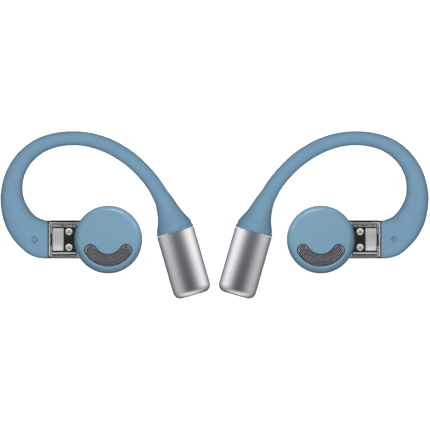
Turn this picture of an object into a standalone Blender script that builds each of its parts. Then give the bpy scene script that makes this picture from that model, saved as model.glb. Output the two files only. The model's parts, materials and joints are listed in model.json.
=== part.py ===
"""A pair of open-ear headphones on springy ear hooks, lying on their outer sides.

The frame is in metres with +Z up. X runs across the pair, Y from the tips of the barrels to the tops of
the hooks, and Z through their depth. The origin is under the middle of the pair, on the surface they lie on.
Every piece is made for the right ear's bud, which lies at -X. The left ear's bud is its mirror image.
"""

import math

import bmesh
import bpy
from mathutils import Matrix, Vector

MM = 0.001
GAP = 0.3 * MM  # between the casings
FIT = 0.15 * MM  # between a small piece and the hole or pocket it sits in
WELD = 0.001 * MM

# Steps round a turn
CASE_STEPS = 28
DRIVER_STEPS = 16
HOOK_CORNER_STEPS = 3

# Depths, from the surface that the buds lie on
BODY_DEPTH = 9.4 * MM  # of the clear housing, and the barrel's diameter
AXIS_Z = BODY_DEPTH / 2  # the plane that holds the hook's centreline
TOTAL_DEPTH = 14.4 * MM

# Speaker disc
DISC_X, DISC_Y = -26.0 * MM, -6.05 * MM
DISC_R = 8.3 * MM
DISC_WALL = 0.8 * MM
DISC_INNER_R = DISC_R - DISC_WALL
DISC_BOTTOM = 7.4 * MM  # underside of its rear shell
DISC_SPLIT = 11.2 * MM  # where the cap meets the rear shell
CAP_WALL = 0.9 * MM
CAP_FILLET = 1.7 * MM
CAP_CEILING = TOTAL_DEPTH - CAP_WALL

# The curved sound slot in the cap, concentric with the disc
SLOT_MID_R = 5.1 * MM
SLOT_HALF_WIDTH = 1.55 * MM
SLOT_HALF_SWEEP = 58.5  # degrees to each side of straight down
GRILLE_SINK = 0.45 * MM  # of the grille below the cap's face
GRILLE_FLANGE = 0.35 * MM  # behind the slot's edge
GRILLE_THICKNESS = 0.2 * MM
CLOTH_THICKNESS = 0.12 * MM

# Clear housing between the hook and the disc
HOUSING_X0, HOUSING_X1 = -40.4 * MM, -24.0 * MM
HOUSING_Y = DISC_Y
HOUSING_HALF = BODY_DEPTH / 2
HOUSING_WALL = 0.9 * MM
ROOM_HALF = HOUSING_HALF - HOUSING_WALL
CORNER_SHARE = 0.26  # corner radius of the housing's section, over its half width
NOTCH_Z = DISC_BOTTOM - GAP
NOTCH_R = DISC_R + FIT
TALL_ROOM_X1 = DISC_X - NOTCH_R - 0.55 * MM
LOW_ROOM_TOP = NOTCH_Z - HOUSING_WALL
SEAL_THICKNESS = 0.3 * MM
HOOK_X0 = HOUSING_X0 - SEAL_THICKNESS - 2 * FIT  # the hook's end face

# Chassis in the housing, and what it carries
CHASSIS_HALF = ROOM_HALF - GAP
CHASSIS_TOP = 7.5 * MM
TONGUE_HALF, TONGUE_WALL = 1.5 * MM, 0.6 * MM
TONGUE_X0 = HOOK_X0 - 1.4 * MM
POCKET_X0 = -45.05 * MM  # end of the hook's pocket
POCKET_HALF = TONGUE_HALF + GAP
POCKET_TOP = 7.9 * MM
BOARD_TOP = 3.05 * MM
BOARD_THICKNESS = 0.8 * MM
BOARD_HALF = 2.9 * MM
CHIPS = (  # x from and to, y from and to about the housing's middle, and height, in mm
    ("radio_chip", -36.6, -32.4, -2.0, 2.0, 0.75),
    ("power_chip", -31.0, -28.4, -0.6, 1.9, 0.6),
    ("crystal", -31.0, -28.8, -2.2, -1.2, 0.5),
)
BAY_X0, BAY_X1 = -39.3 * MM, -25.8 * MM
MAGNET_X0, MAGNET_X1 = -39.55 * MM, -37.0 * MM
MAGNET_HALF_LENGTH = 2.74 * MM
MAGNET_EDGE = 0.08 * MM
CONTACT_X = -35.65 * MM
CONTACT_SPREAD = 1.92 * MM
CONTACT_R = 0.85 * MM
CONTACT_PIN_R = 0.5 * MM
CONTACT_TOP = BODY_DEPTH - 0.05 * MM
CONTACT_THICKNESS = 0.75 * MM
CONTACT_PIN_Z = 7.1 * MM  # foot of its pin, in the chassis
MIC_X = -44.05 * MM
MIC_HALF_LENGTH, MIC_HALF_WIDTH = 0.65 * MM, 0.9 * MM
MIC_Z0, MIC_Z1 = 6.8 * MM, 7.7 * MM
DIMPLE_R, DIMPLE_FLOOR_R, DIMPLE_DEPTH = 0.95 * MM, 0.4 * MM, 0.35 * MM
PORT_R = 0.25 * MM

# Pinch key, let into the housing's +Y wall
KEY_X0, KEY_X1 = -39.7 * MM, -32.6 * MM
KEY_HALF_DEPTH = 1.2 * MM
KEY_TRAVEL = 0.3 * MM
KEY_SINK = 0.02 * MM  # of its face below the housing's side
FLANGE_OUT = ROOM_HALF - GAP  # outer face of the key's flange, from the housing's middle
FLANGE_THICKNESS = 0.3 * MM
FLANGE_LIP = 0.3 * MM
SWITCH_OUT = FLANGE_OUT - FLANGE_THICKNESS - KEY_TRAVEL - FIT
SWITCH_HEIGHT = 0.3 * MM
SWITCH_HALF_LENGTH, SWITCH_HALF_WIDTH = 1.3 * MM, 0.9 * MM
KEY_BAY_FLOOR = SWITCH_OUT - SWITCH_HEIGHT - FIT

# Hook: the stations of its centreline, each x, y, width in mm and the share of the section that is round
HOOK_STATIONS = (
    (HOOK_X0 / MM, -6.05, 9.35, 0.26),
    (-42.0, -6.0, 9.35, 0.30),
    (-43.6, -5.45, 9.2, 0.38),
    (-46.2, -3.55, 8.1, 0.58),
    (-48.2, -0.8, 7.15, 0.80),
    (-49.5, 2.7, 6.1, 0.95),
    (-49.75, 6.1, 5.35, 1.0),
    (-48.9, 10.1, 4.6, 1.0),
    (-46.6, 13.9, 4.1, 1.0),
    (-43.1, 16.8, 3.8, 1.0),
    (-39.0, 18.35, 3.6, 1.0),
    (-34.7, 18.8, 3.5, 1.0),
    (-30.4, 18.35, 3.55, 1.0),
    (-25.6, 16.7, 3.65, 1.0),
    (-21.0, 13.9, 3.7, 1.0),
    (-17.4, 10.6, 3.7, 1.0),
    (-14.8, 7.4, 3.8, 1.0),
    (-13.2, 4.7, 4.1, 1.0),
    (-12.3, 3.2, 4.65, 1.0),
    (-11.25, 0.7, 5.8, 1.0),
    (-10.55, -1.1, 7.2, 1.0),
    (-9.98, -2.7, 8.75, 1.0),
    (-9.6, -4.14, 9.4, 1.0),
)
FLEX_STATION = 11  # the top of the arch, where the hook bends
SPAN_STEPS = 2  # rings made for each span between stations
FLEX_GAP = GAP
HOOK_BORE_R = 1.05 * MM
BORE_FROM = 3  # the ring where the bore leaves the hook's pocket
WIRE_R, WIRE_DROP = 0.35 * MM, 0.47 * MM
LEAD_R, LEAD_RISE = 0.3 * MM, 0.47 * MM
WIRE_END_GAP = 0.35 * MM  # from the flex axis to the wires' ends
LEAD_HOLE_R = 0.6 * MM
LEAD_LEVEL = AXIS_Z + LEAD_RISE
BATTERY_LEAD_X = -38.4 * MM
SPEAKER_LEAD_X = -32.2 * MM
LEAD_END_Z = 10.2 * MM  # in the disc, below the driver's basket

# Barrel, turned about its own axis from the centre of its mouth
BARREL_MOUTH = Vector((-9.6 * MM, -4.14 * MM, AXIS_Z))
BARREL_LEAN = math.radians(15.95)
BARREL_DIRECTION = Vector((math.sin(BARREL_LEAN), -math.cos(BARREL_LEAN), 0))
BARREL_R = BODY_DEPTH / 2
BARREL_LENGTH = 16.2 * MM
BARREL_WALL = 0.45 * MM
BARREL_INNER_R = BARREL_R - BARREL_WALL
BARREL_FILLET = 1.8 * MM
PLUG_SPIGOT = 2.5 * MM  # reach into the hook
PLUG_SPIGOT_R = 2.0 * MM
PLUG_BOTTOM = -1.9 * MM
CELL_TOP = -2.8 * MM
CELL_EDGE = 0.5 * MM

COLOURS = {
    "silicone_blue": ((0.21, 0.36, 0.47), 0.55, 0.0),
    "shell_blue": ((0.20, 0.35, 0.46), 0.4, 0.0),
    "clear_plastic": ((0.85, 0.87, 0.88), 0.05, 0.0),
    "black_plastic": ((0.012, 0.012, 0.013), 0.45, 0.0),
    "seal_rubber": ((0.02, 0.02, 0.02), 0.7, 0.0),
    "barrel_metal": ((0.62, 0.62, 0.64), 0.3, 1.0),
    "magnet_plating": ((0.6, 0.6, 0.6), 0.3, 1.0),
    "contact_metal": ((0.7, 0.69, 0.66), 0.2, 1.0),
    "grille_metal": ((0.25, 0.25, 0.27), 0.35, 1.0),
    "mesh_cloth": ((0.02, 0.02, 0.02), 0.9, 0.0),
    "circuit_board": ((0.01, 0.02, 0.03), 0.4, 0.0),
    "driver_steel": ((0.45, 0.45, 0.46), 0.35, 1.0),
    "driver_film": ((0.5, 0.48, 0.42), 0.25, 0.0),
    "copper_wire": ((0.6, 0.25, 0.1), 0.3, 1.0),
    "spring_wire": ((0.4, 0.4, 0.41), 0.3, 1.0),
    "cell_can": ((0.55, 0.56, 0.58), 0.35, 1.0),
}


def clear_scene():
    for obj in list(bpy.data.objects):
        bpy.data.objects.remove(obj)


def make_collection(name):
    collection = bpy.data.collections.new(name)
    bpy.context.scene.collection.children.link(collection)
    return collection


def make_materials():
    materials = {}
    for name, (colour, roughness, metallic) in COLOURS.items():
        made = bpy.data.materials.new(name)
        made.use_nodes = True
        shader = made.node_tree.nodes["Principled BSDF"]
        shader.inputs["Base Color"].default_value = (*colour, 1)
        shader.inputs["Roughness"].default_value = roughness
        shader.inputs["Metallic"].default_value = metallic
        materials[name] = made
    return materials


# Shapes


def object_of(name, data):
    obj = bpy.data.objects.new(name, data)
    bpy.context.scene.collection.objects.link(obj)
    return obj


def mesh_object(name, bm):
    bmesh.ops.recalc_face_normals(bm, faces=bm.faces)
    mesh = bpy.data.meshes.new(name)
    bm.to_mesh(mesh)
    bm.free()
    return object_of(name, mesh)


def box(name, x, y, z):
    """A box from its lowest and highest value on each axis."""
    bm = bmesh.new()
    bmesh.ops.create_cube(bm, size=1)
    size = Vector((x[1] - x[0], y[1] - y[0], z[1] - z[0]))
    middle = Vector((x[0] + x[1], y[0] + y[1], z[0] + z[1])) / 2
    bmesh.ops.transform(bm, matrix=Matrix.Translation(middle) @ Matrix.Diagonal((*size, 1)), verts=bm.verts)
    return mesh_object(name, bm)


def bead(name, x, y, z0, z1, radius, top_radius=None, sides=12):
    """An upright cylinder, or a cone with a flat top, from z0 to z1."""
    bm = bmesh.new()
    bmesh.ops.create_cone(
        bm,
        cap_ends=True,
        segments=sides,
        radius1=radius,
        radius2=radius if top_radius is None else top_radius,
        depth=z1 - z0,
        matrix=Matrix.Translation((x, y, (z0 + z1) / 2)),
    )
    return mesh_object(name, bm)


def bevelled(obj, width, segments=1):
    bevel = obj.modifiers.new("edges", "BEVEL")
    bevel.width = width
    bevel.segments = segments
    bevel.limit_method = "ANGLE"
    return obj


def turned(name, profile, closed, steps=CASE_STEPS):
    """A shape turned about Z. The profile is (radius, height) and runs down the outer side."""
    mesh = bpy.data.meshes.new(name)
    count = len(profile)
    edges = [(i, i + 1) for i in range(count - 1)]
    if closed:
        edges.append((count - 1, 0))
    mesh.from_pydata([(r, 0, z) for r, z in profile], edges, [])
    obj = object_of(name, mesh)
    screw = obj.modifiers.new("turn", "SCREW")
    screw.steps = screw.render_steps = steps
    screw.use_merge_vertices = True
    screw.merge_threshold = WELD
    return obj


def at_disc(obj):
    obj.location = (DISC_X, DISC_Y, 0)
    return obj


def at_barrel(obj):
    """Stands a turned piece on the barrel's axis, with +Z towards the hook."""
    obj.location = BARREL_MOUTH
    obj.rotation_euler = (-BARREL_DIRECTION).to_track_quat("Z", "Y").to_euler()
    return obj


def arc(centre, radius, start, end, steps):
    """Points on an arc, both ends included, with angles in degrees."""
    points = []
    for i in range(steps + 1):
        angle = math.radians(start + (end - start) * i / steps)
        points.append((centre[0] + radius * math.cos(angle), centre[1] + radius * math.sin(angle)))
    return points


def slot_outline(half_width, round_steps=6, long_steps=10):
    """The banana-shaped outline about the disc's centre, with round ends."""
    inner, outer = SLOT_MID_R - half_width, SLOT_MID_R + half_width
    right, left = SLOT_HALF_SWEEP - 90, -SLOT_HALF_SWEEP - 90
    left_end, right_end = (arc((0, 0), SLOT_MID_R, angle, angle, 1)[0] for angle in (left, right))
    outline = arc((0, 0), outer, left, right, long_steps)
    outline += arc(right_end, half_width, right, right + 180, round_steps)[1:-1]
    outline += arc((0, 0), inner, right, left, long_steps)
    outline += arc(left_end, half_width, left + 180, left + 360, round_steps)[1:-1]
    return outline


def as_mesh(obj):
    """The evaluated mesh of a curve, with its caps welded on, in the curve's place."""
    bpy.context.view_layer.update()
    evaluated = obj.evaluated_get(bpy.context.evaluated_depsgraph_get())
    mesh = bpy.data.meshes.new_from_object(evaluated)
    weld(mesh)
    name, place = obj.name, obj.matrix_world.copy()
    bpy.data.objects.remove(obj)
    made = object_of(name, mesh)
    made.matrix_world = place
    return made


def weld(mesh):
    bm = bmesh.new()
    bm.from_mesh(mesh)
    bmesh.ops.remove_doubles(bm, verts=bm.verts, dist=WELD)
    bm.to_mesh(mesh)
    bm.free()


def plate(name, outline, z0, z1):
    """A flat outline with straight sides, centred on the disc."""
    curve = bpy.data.curves.new(name, "CURVE")
    curve.dimensions = "2D"
    curve.fill_mode = "BOTH"
    curve.extrude = (z1 - z0) / 2
    spline = curve.splines.new("POLY")
    spline.points.add(len(outline) - 1)
    spline.use_cyclic_u = True
    for point, (x, y) in zip(spline.points, outline):
        point.co = (x, y, 0, 1)
    obj = object_of(name, curve)
    obj.location = (DISC_X, DISC_Y, (z0 + z1) / 2)
    return as_mesh(obj)


def ring_of(centre, along, half, share, corner_steps):
    """A rounded square across `along`, from a circle at share 1 to nearly square at share 0."""
    across = Vector((0, 0, 1)).cross(along).normalized()
    radius = half * share
    inset = half - radius
    ring = []
    for quarter, (sx, sz) in enumerate(((1, 1), (-1, 1), (-1, -1), (1, -1))):
        for step in range(corner_steps):
            angle = math.radians(90 * (quarter + step / corner_steps) + 45 / corner_steps)
            x = sx * inset + radius * math.cos(angle)
            z = sz * inset + radius * math.sin(angle)
            ring.append(centre + across * x + Vector((0, 0, z)))
    return ring


def loft(name, sections, corner_steps=HOOK_CORNER_STEPS):
    """A solid through rounded squares, each (centre, direction, half width, round share)."""
    bm = bmesh.new()
    rings = []
    for centre, along, half, share in sections:
        rings.append([bm.verts.new(p) for p in ring_of(centre, along, half, share, corner_steps)])
    count = len(rings[0])
    for first, second in zip(rings, rings[1:]):
        for i in range(count):
            j = (i + 1) % count
            bm.faces.new((first[i], first[j], second[j], second[i]))
    bm.faces.new(rings[0])
    bm.faces.new(rings[-1])
    return mesh_object(name, bm)


def wire(name, points, radius):
    """A round wire along a list of points."""
    curve = bpy.data.curves.new(name, "CURVE")
    curve.dimensions = "3D"
    curve.bevel_depth = radius
    curve.bevel_resolution = 2
    curve.use_fill_caps = True
    spline = curve.splines.new("POLY")
    spline.points.add(len(points) - 1)
    for point, place in zip(spline.points, points):
        point.co = (*place, 1)
    return object_of(name, curve)


def boolean(obj, other, operation):
    """Cuts or joins with another object, which becomes a helper."""
    modifier = obj.modifiers.new(operation.lower(), "BOOLEAN")
    modifier.operation = operation
    modifier.object = other
    other.hide_render = True
    other.display_type = "WIRE"
    return obj


def cut(obj, *cutters):
    for cutter in cutters:
        boolean(obj, cutter, "DIFFERENCE")
    return obj


def join(obj, *others):
    for other in others:
        boolean(obj, other, "UNION")
    return obj


# The hook's centreline


def blend_of(a, b, c, d, t):
    """The Catmull-Rom value between b and c."""
    return 0.5 * (
        2 * b + (c - a) * t + (2 * a - 5 * b + 4 * c - d) * t * t + (3 * b - a - 3 * c + d) * t**3
    )


def smooth_stations(stations, steps):
    """Stations on a smooth curve through the given ones."""
    last = len(stations) - 1
    made = []
    for i in range(last):
        around = [stations[max(0, min(last, i + k))] for k in (-1, 0, 1, 2)]
        for step in range(steps):
            made.append([blend_of(*values, step / steps) for values in zip(*around)])
    made.append(list(stations[last]))
    return made


def hook_sections():
    """(centre, direction, half width, round share) along the hook, from the housing to the barrel."""
    stations = smooth_stations(HOOK_STATIONS, SPAN_STEPS)
    centres = [Vector((x * MM, y * MM, AXIS_Z)) for x, y, _, _ in stations]
    last = len(centres) - 1
    sections = []
    for i, (_, _, width, share) in enumerate(stations):
        along = (centres[min(last, i + 1)] - centres[max(0, i - 1)]).normalized()
        if i == 0:
            along = Vector((-1, 0, 0))
        if i == last:
            along = BARREL_DIRECTION
        sections.append((centres[i], along, width * MM / 2, min(1.0, share)))
    return sections


SECTIONS = hook_sections()
FLEX_INDEX = FLEX_STATION * SPAN_STEPS
FLEX_AXIS = SECTIONS[FLEX_INDEX][0]


def dome(sections):
    """Rings that close a length of the hook with a half ball just short of the flex axis."""
    radius = SECTIONS[FLEX_INDEX][2]
    facing = Vector((math.copysign(1, FLEX_AXIS.x - sections[-1][0].x), 0, 0))
    centre = FLEX_AXIS - facing * (radius + FLEX_GAP / 2)
    rings = []
    for degrees in (0, 30, 55, 75):
        angle = math.radians(degrees)
        rings.append((centre + facing * radius * math.sin(angle), facing, radius * math.cos(angle), 1.0))
    return rings


def away_from_flex(sections):
    """Leaves out the sections that the dome stands in for."""
    reach = SECTIONS[FLEX_INDEX][2] + FLEX_GAP
    return [s for s in sections if (s[0] - FLEX_AXIS).length > reach + 0.5 * MM]


def bore_cutter(name, sections, start, end):
    """The passage that the wires lie in."""
    path = [(start, sections[0][1], HOOK_BORE_R, 1.0)]
    path += [(centre, along, HOOK_BORE_R, 1.0) for centre, along, _, _ in sections]
    path.append((end, sections[-1][1], HOOK_BORE_R, 1.0))
    return loft(name, path, corner_steps=2)


def wire_path(sections, height):
    """Every second ring's centre and the last one's, moved up or down in the passage."""
    kept = sections[::2] if len(sections) % 2 else sections[::2] + sections[-1:]
    return [centre + Vector((0, 0, height)) for centre, _, _, _ in kept]


# Distances from the housing's middle


def y_at(low, high):
    return (HOUSING_Y + low, HOUSING_Y + high)


def y_mid(half):
    return y_at(-half, half)


def z_mid(half):
    return (AXIS_Z - half, AXIS_Z + half)


# Hook pieces


def make_hook_front():
    sections = away_from_flex(SECTIONS[:FLEX_INDEX])
    sleeve = loft("right_hook_front", sections + dome(sections))
    bored = sections[BORE_FROM:]
    into_pocket = bored[0][0] + Vector((1, -0.3, 0)) * MM
    bore = bore_cutter("front_bore", bored, into_pocket, FLEX_AXIS + Vector((1, 0, 0)) * MM)
    pocket_z = (AXIS_Z - POCKET_HALF, POCKET_TOP)
    pocket = box("root_pocket", (POCKET_X0, HOUSING_X0), y_mid(POCKET_HALF), pocket_z)
    dimple_top = BODY_DEPTH + 0.05 * MM
    dimple = bead(
        "mic_dimple", MIC_X, DISC_Y, BODY_DEPTH - DIMPLE_DEPTH, dimple_top, DIMPLE_FLOOR_R, DIMPLE_R
    )
    port = bead("mic_port", MIC_X, DISC_Y, POCKET_TOP - GAP, BODY_DEPTH + GAP, PORT_R, sides=8)
    return cut(sleeve, bore, pocket, dimple, port)


def make_hook_rear():
    sections = away_from_flex(SECTIONS[FLEX_INDEX + 1 :])
    start = dome(sections[::-1])
    head = [(centre, -along, half, share) for centre, along, half, share in start[::-1]]
    sleeve = loft("right_hook_rear", head + sections)
    bore = bore_cutter(
        "rear_bore", sections, FLEX_AXIS - Vector((1, 0, 0)) * MM, BARREL_MOUTH + BARREL_DIRECTION * MM
    )
    socket = at_barrel(
        bead("plug_socket", 0, 0, -1 * MM, PLUG_SPIGOT + GAP, PLUG_SPIGOT_R + GAP, sides=16)
    )
    return cut(sleeve, bore, socket)


def make_memory_wires():
    """The sprung wire that gives the hook its grip, in two lengths that end at the flex axis."""
    front = away_from_flex(SECTIONS[BORE_FROM + 1 : FLEX_INDEX])
    rear = away_from_flex(SECTIONS[FLEX_INDEX + 1 :])
    to_axis = Vector((WIRE_END_GAP, 0, 0))
    down = Vector((0, 0, -WIRE_DROP))
    anchor = Vector((TONGUE_X0 + MM, HOUSING_Y, AXIS_Z)) + down
    front_path = [anchor] + wire_path(front, -WIRE_DROP) + [FLEX_AXIS - to_axis + down]
    rear_path = [FLEX_AXIS + to_axis + down] + wire_path(rear, -WIRE_DROP)
    return [
        wire("right_memory_wire_front", front_path, WIRE_R),
        wire("right_memory_wire_rear", rear_path, WIRE_R),
    ]


def make_battery_leads():
    """The lead from the cell to the main board, in two lengths that end at the flex axis."""
    front = away_from_flex(SECTIONS[BORE_FROM + 1 : FLEX_INDEX])
    rear = away_from_flex(SECTIONS[FLEX_INDEX + 1 :])
    to_axis = Vector((WIRE_END_GAP, 0, 0))
    up = Vector((0, 0, LEAD_RISE))
    turn = 0.5 * MM
    start = [
        Vector((BATTERY_LEAD_X, HOUSING_Y, BOARD_TOP + FIT)),
        Vector((BATTERY_LEAD_X, HOUSING_Y, LEAD_LEVEL - turn)),
        Vector((BATTERY_LEAD_X - turn, HOUSING_Y, LEAD_LEVEL)),
        Vector((TONGUE_X0, HOUSING_Y, LEAD_LEVEL)),
    ]
    front_path = start + wire_path(front, LEAD_RISE) + [FLEX_AXIS - to_axis + up]
    cell_end = BARREL_MOUTH - BARREL_DIRECTION * (CELL_TOP + GAP) + up
    rear_path = [FLEX_AXIS + to_axis + up] + wire_path(rear, LEAD_RISE) + [cell_end]
    return [
        wire("right_battery_lead_front", front_path, LEAD_R),
        wire("right_battery_lead_rear", rear_path, LEAD_R),
    ]


# Barrel pieces. Heights run from the mouth, with +Z towards the hook.


def make_barrel_shell():
    inner_fillet = BARREL_FILLET - BARREL_WALL
    bottom, floor = -BARREL_LENGTH, -BARREL_LENGTH + BARREL_WALL
    profile = [(0, floor)]
    profile += arc((BARREL_INNER_R - inner_fillet, floor + inner_fillet), inner_fillet, -90, 0, 3)
    profile += [(BARREL_INNER_R, -GAP), (BARREL_R, -GAP)]
    profile += arc((BARREL_R - BARREL_FILLET, bottom + BARREL_FILLET), BARREL_FILLET, 0, -90, 4)
    profile += [(0, bottom)]
    return at_barrel(turned("right_barrel_shell", profile, closed=False))


def make_barrel_plug():
    flange = BARREL_INNER_R - FIT
    profile = [
        (HOOK_BORE_R, PLUG_SPIGOT),
        (PLUG_SPIGOT_R, PLUG_SPIGOT),
        (PLUG_SPIGOT_R, -GAP),
        (flange, -GAP),
        (flange, PLUG_BOTTOM),
        (HOOK_BORE_R, PLUG_BOTTOM),
    ]
    return at_barrel(turned("right_barrel_plug", profile, closed=True, steps=20))


def make_battery_cell():
    radius, bottom = BARREL_INNER_R - GAP, -BARREL_LENGTH + BARREL_WALL + GAP
    profile = [
        (0, CELL_TOP),
        (radius - CELL_EDGE, CELL_TOP),
        (radius, CELL_TOP - CELL_EDGE),
        (radius, bottom + 2 * CELL_EDGE),
        (radius - 2 * CELL_EDGE, bottom),
        (0, bottom),
    ]
    return at_barrel(turned("right_battery_cell", profile, closed=False, steps=20))


# Housing pieces


def make_clear_housing():
    end_inset = 0.5 * MM
    along = Vector((1, 0, 0))
    sections = [
        (Vector((x, HOUSING_Y, AXIS_Z)), along, HOUSING_HALF - inset, CORNER_SHARE)
        for x, inset in ((HOUSING_X0, 0), (HOUSING_X1 - end_inset, 0), (HOUSING_X1, end_inset))
    ]
    shell = loft("right_clear_housing", sections)
    floor = HOUSING_WALL
    tall_room = box(
        "tall_room", (HOOK_X0, TALL_ROOM_X1), y_mid(ROOM_HALF), (floor, BODY_DEPTH - HOUSING_WALL)
    )
    low_room = box(
        "low_room", (TALL_ROOM_X1 - MM, HOUSING_X1 - HOUSING_WALL), y_mid(ROOM_HALF), (floor, LOW_ROOM_TOP)
    )
    notch = at_disc(bead("disc_notch", 0, 0, NOTCH_Z, BODY_DEPTH + MM, NOTCH_R, sides=CASE_STEPS))
    key_slot = box(
        "key_slot",
        (KEY_X0 - FIT, KEY_X1 + FIT),
        y_at(ROOM_HALF - GAP, HOUSING_HALF + GAP),
        z_mid(KEY_HALF_DEPTH + FIT),
    )
    hole_z = (LOW_ROOM_TOP - GAP, NOTCH_Z + GAP)
    lead_hole = bead("housing_lead_hole", SPEAKER_LEAD_X, HOUSING_Y, *hole_z, LEAD_HOLE_R, sides=8)
    contact_holes = [
        bead(
            f"{side}_contact_hole",
            CONTACT_X,
            y,
            BODY_DEPTH - HOUSING_WALL - GAP,
            BODY_DEPTH + GAP,
            CONTACT_R + FIT,
            sides=16,
        )
        for side, y in contact_places()
    ]
    return cut(shell, tall_room, low_room, notch, key_slot, lead_hole, *contact_holes)


def contact_places():
    return (("upper", HOUSING_Y + CONTACT_SPREAD), ("lower", HOUSING_Y - CONTACT_SPREAD))


def make_chassis():
    floor = HOUSING_WALL + GAP
    tall = box(
        "right_chassis",
        (HOUSING_X0 + 2 * FIT, TALL_ROOM_X1 - FIT),
        y_mid(CHASSIS_HALF),
        (floor, CHASSIS_TOP),
    )
    low = box(
        "chassis_low_end",
        (TALL_ROOM_X1 - MM, HOUSING_X1 - HOUSING_WALL - GAP),
        y_mid(CHASSIS_HALF),
        (floor, LOW_ROOM_TOP - GAP),
    )
    tongue = box("chassis_tongue", (TONGUE_X0, BAY_X0), y_mid(TONGUE_HALF), z_mid(TONGUE_HALF))
    board_bay = box(
        "board_bay", (BAY_X0, BAY_X1), y_mid(BOARD_HALF + FIT), (floor - MM, BOARD_TOP + FIT)
    )
    key_bay = box(
        "key_bay",
        (HOOK_X0, KEY_X1 + FLANGE_LIP + FIT),
        y_at(KEY_BAY_FLOOR, HOUSING_HALF),
        z_mid(KEY_HALF_DEPTH + FLANGE_LIP + FIT),
    )
    lead_side = LEAD_R + FIT
    channel = box(
        "lead_channel",
        (TONGUE_X0 - MM, BATTERY_LEAD_X + lead_side),
        y_mid(TONGUE_HALF - TONGUE_WALL),
        (AXIS_Z - TONGUE_HALF + GAP, AXIS_Z + TONGUE_HALF + GAP),
    )
    shaft = box(
        "lead_shaft",
        (BATTERY_LEAD_X - lead_side, BATTERY_LEAD_X + lead_side),
        y_mid(lead_side),
        (BOARD_TOP, AXIS_Z + TONGUE_HALF),
    )
    speaker_shaft = bead(
        "speaker_shaft", SPEAKER_LEAD_X, HOUSING_Y, BOARD_TOP, LOW_ROOM_TOP + GAP, LEAD_HOLE_R, sides=8
    )
    seats = [
        bead(
            f"{side}_contact_seat",
            CONTACT_X,
            y,
            CONTACT_PIN_Z - FIT,
            CHASSIS_TOP + GAP,
            CONTACT_PIN_R + FIT,
        )
        for side, y in contact_places()
    ]
    join(tall, low, tongue)
    return cut(tall, board_bay, key_bay, channel, shaft, speaker_shaft, *seats)


def make_main_board():
    bottom = BOARD_TOP - BOARD_THICKNESS
    into_board = bottom + FIT
    board = box("right_main_board", (BAY_X0 + FIT, BAY_X1 - FIT), y_mid(BOARD_HALF), (bottom, BOARD_TOP))
    chips = [
        box(name, (x0 * MM, x1 * MM), y_at(low * MM, high * MM), (bottom - height * MM, into_board))
        for name, x0, x1, low, high, height in CHIPS
    ]
    return join(board, *chips)


def make_dock_magnet():
    bottom, top = CHASSIS_TOP + FIT, BODY_DEPTH - HOUSING_WALL - FIT
    magnet = box("right_dock_magnet", (MAGNET_X0, MAGNET_X1), y_mid(MAGNET_HALF_LENGTH), (bottom, top))
    return bevelled(magnet, MAGNET_EDGE)


def make_contact(side, y):
    name = f"right_{side}_contact"
    rim_r = CONTACT_R - FIT
    under = CONTACT_TOP - CONTACT_THICKNESS
    button = bead(name, CONTACT_X, y, under, CONTACT_TOP, CONTACT_R, rim_r, sides=16)
    pin = bead(f"{side}_contact_pin", CONTACT_X, y, CONTACT_PIN_Z, under + GAP, CONTACT_PIN_R)
    return join(button, pin)


def make_pinch_key():
    key = box(
        "right_pinch_key",
        (KEY_X0, KEY_X1),
        y_at(FLANGE_OUT - FLANGE_THICKNESS / 2, HOUSING_HALF - KEY_SINK),
        z_mid(KEY_HALF_DEPTH),
    )
    flange = box(
        "key_flange",
        (KEY_X0 - FLANGE_LIP, KEY_X1 + FLANGE_LIP),
        y_at(FLANGE_OUT - FLANGE_THICKNESS, FLANGE_OUT),
        z_mid(KEY_HALF_DEPTH + FLANGE_LIP),
    )
    return join(key, flange)


def make_key_switch():
    middle = (KEY_X0 + KEY_X1) / 2
    return box(
        "right_key_switch",
        (middle - SWITCH_HALF_LENGTH, middle + SWITCH_HALF_LENGTH),
        y_at(SWITCH_OUT - SWITCH_HEIGHT, SWITCH_OUT),
        z_mid(SWITCH_HALF_WIDTH),
    )


def make_housing_seal():
    x1 = HOUSING_X0 - FIT
    along = Vector((1, 0, 0))
    half = HOUSING_HALF - 0.08 * MM
    sections = [
        (Vector((x, HOUSING_Y, AXIS_Z)), along, half, CORNER_SHARE) for x in (x1 - SEAL_THICKNESS, x1)
    ]
    seal = loft("right_housing_seal", sections)
    window = box("seal_window", (x1 - MM, x1 + MM), y_mid(POCKET_HALF), z_mid(POCKET_HALF))
    return cut(seal, window)


def make_microphone():
    x = (MIC_X - MIC_HALF_LENGTH, MIC_X + MIC_HALF_LENGTH)
    return box("right_microphone", x, y_mid(MIC_HALF_WIDTH), (MIC_Z0, MIC_Z1))


# Speaker pieces, turned about the disc's axis


def make_speaker_cap():
    corner = 0.6 * MM
    profile = [(0, TOTAL_DEPTH)]
    profile += arc((DISC_R - CAP_FILLET, TOTAL_DEPTH - CAP_FILLET), CAP_FILLET, 90, 0, 5)
    profile += [
        (DISC_R, DISC_SPLIT),
        (DISC_INNER_R, DISC_SPLIT),
        (DISC_INNER_R, CAP_CEILING - corner),
        (DISC_INNER_R - corner, CAP_CEILING),
        (0, CAP_CEILING),
    ]
    cap = at_disc(turned("right_speaker_cap", profile, closed=False))
    slot = plate("sound_slot", slot_outline(SLOT_HALF_WIDTH), CAP_CEILING - GAP, TOTAL_DEPTH + GAP)
    return cut(cap, slot)


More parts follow.
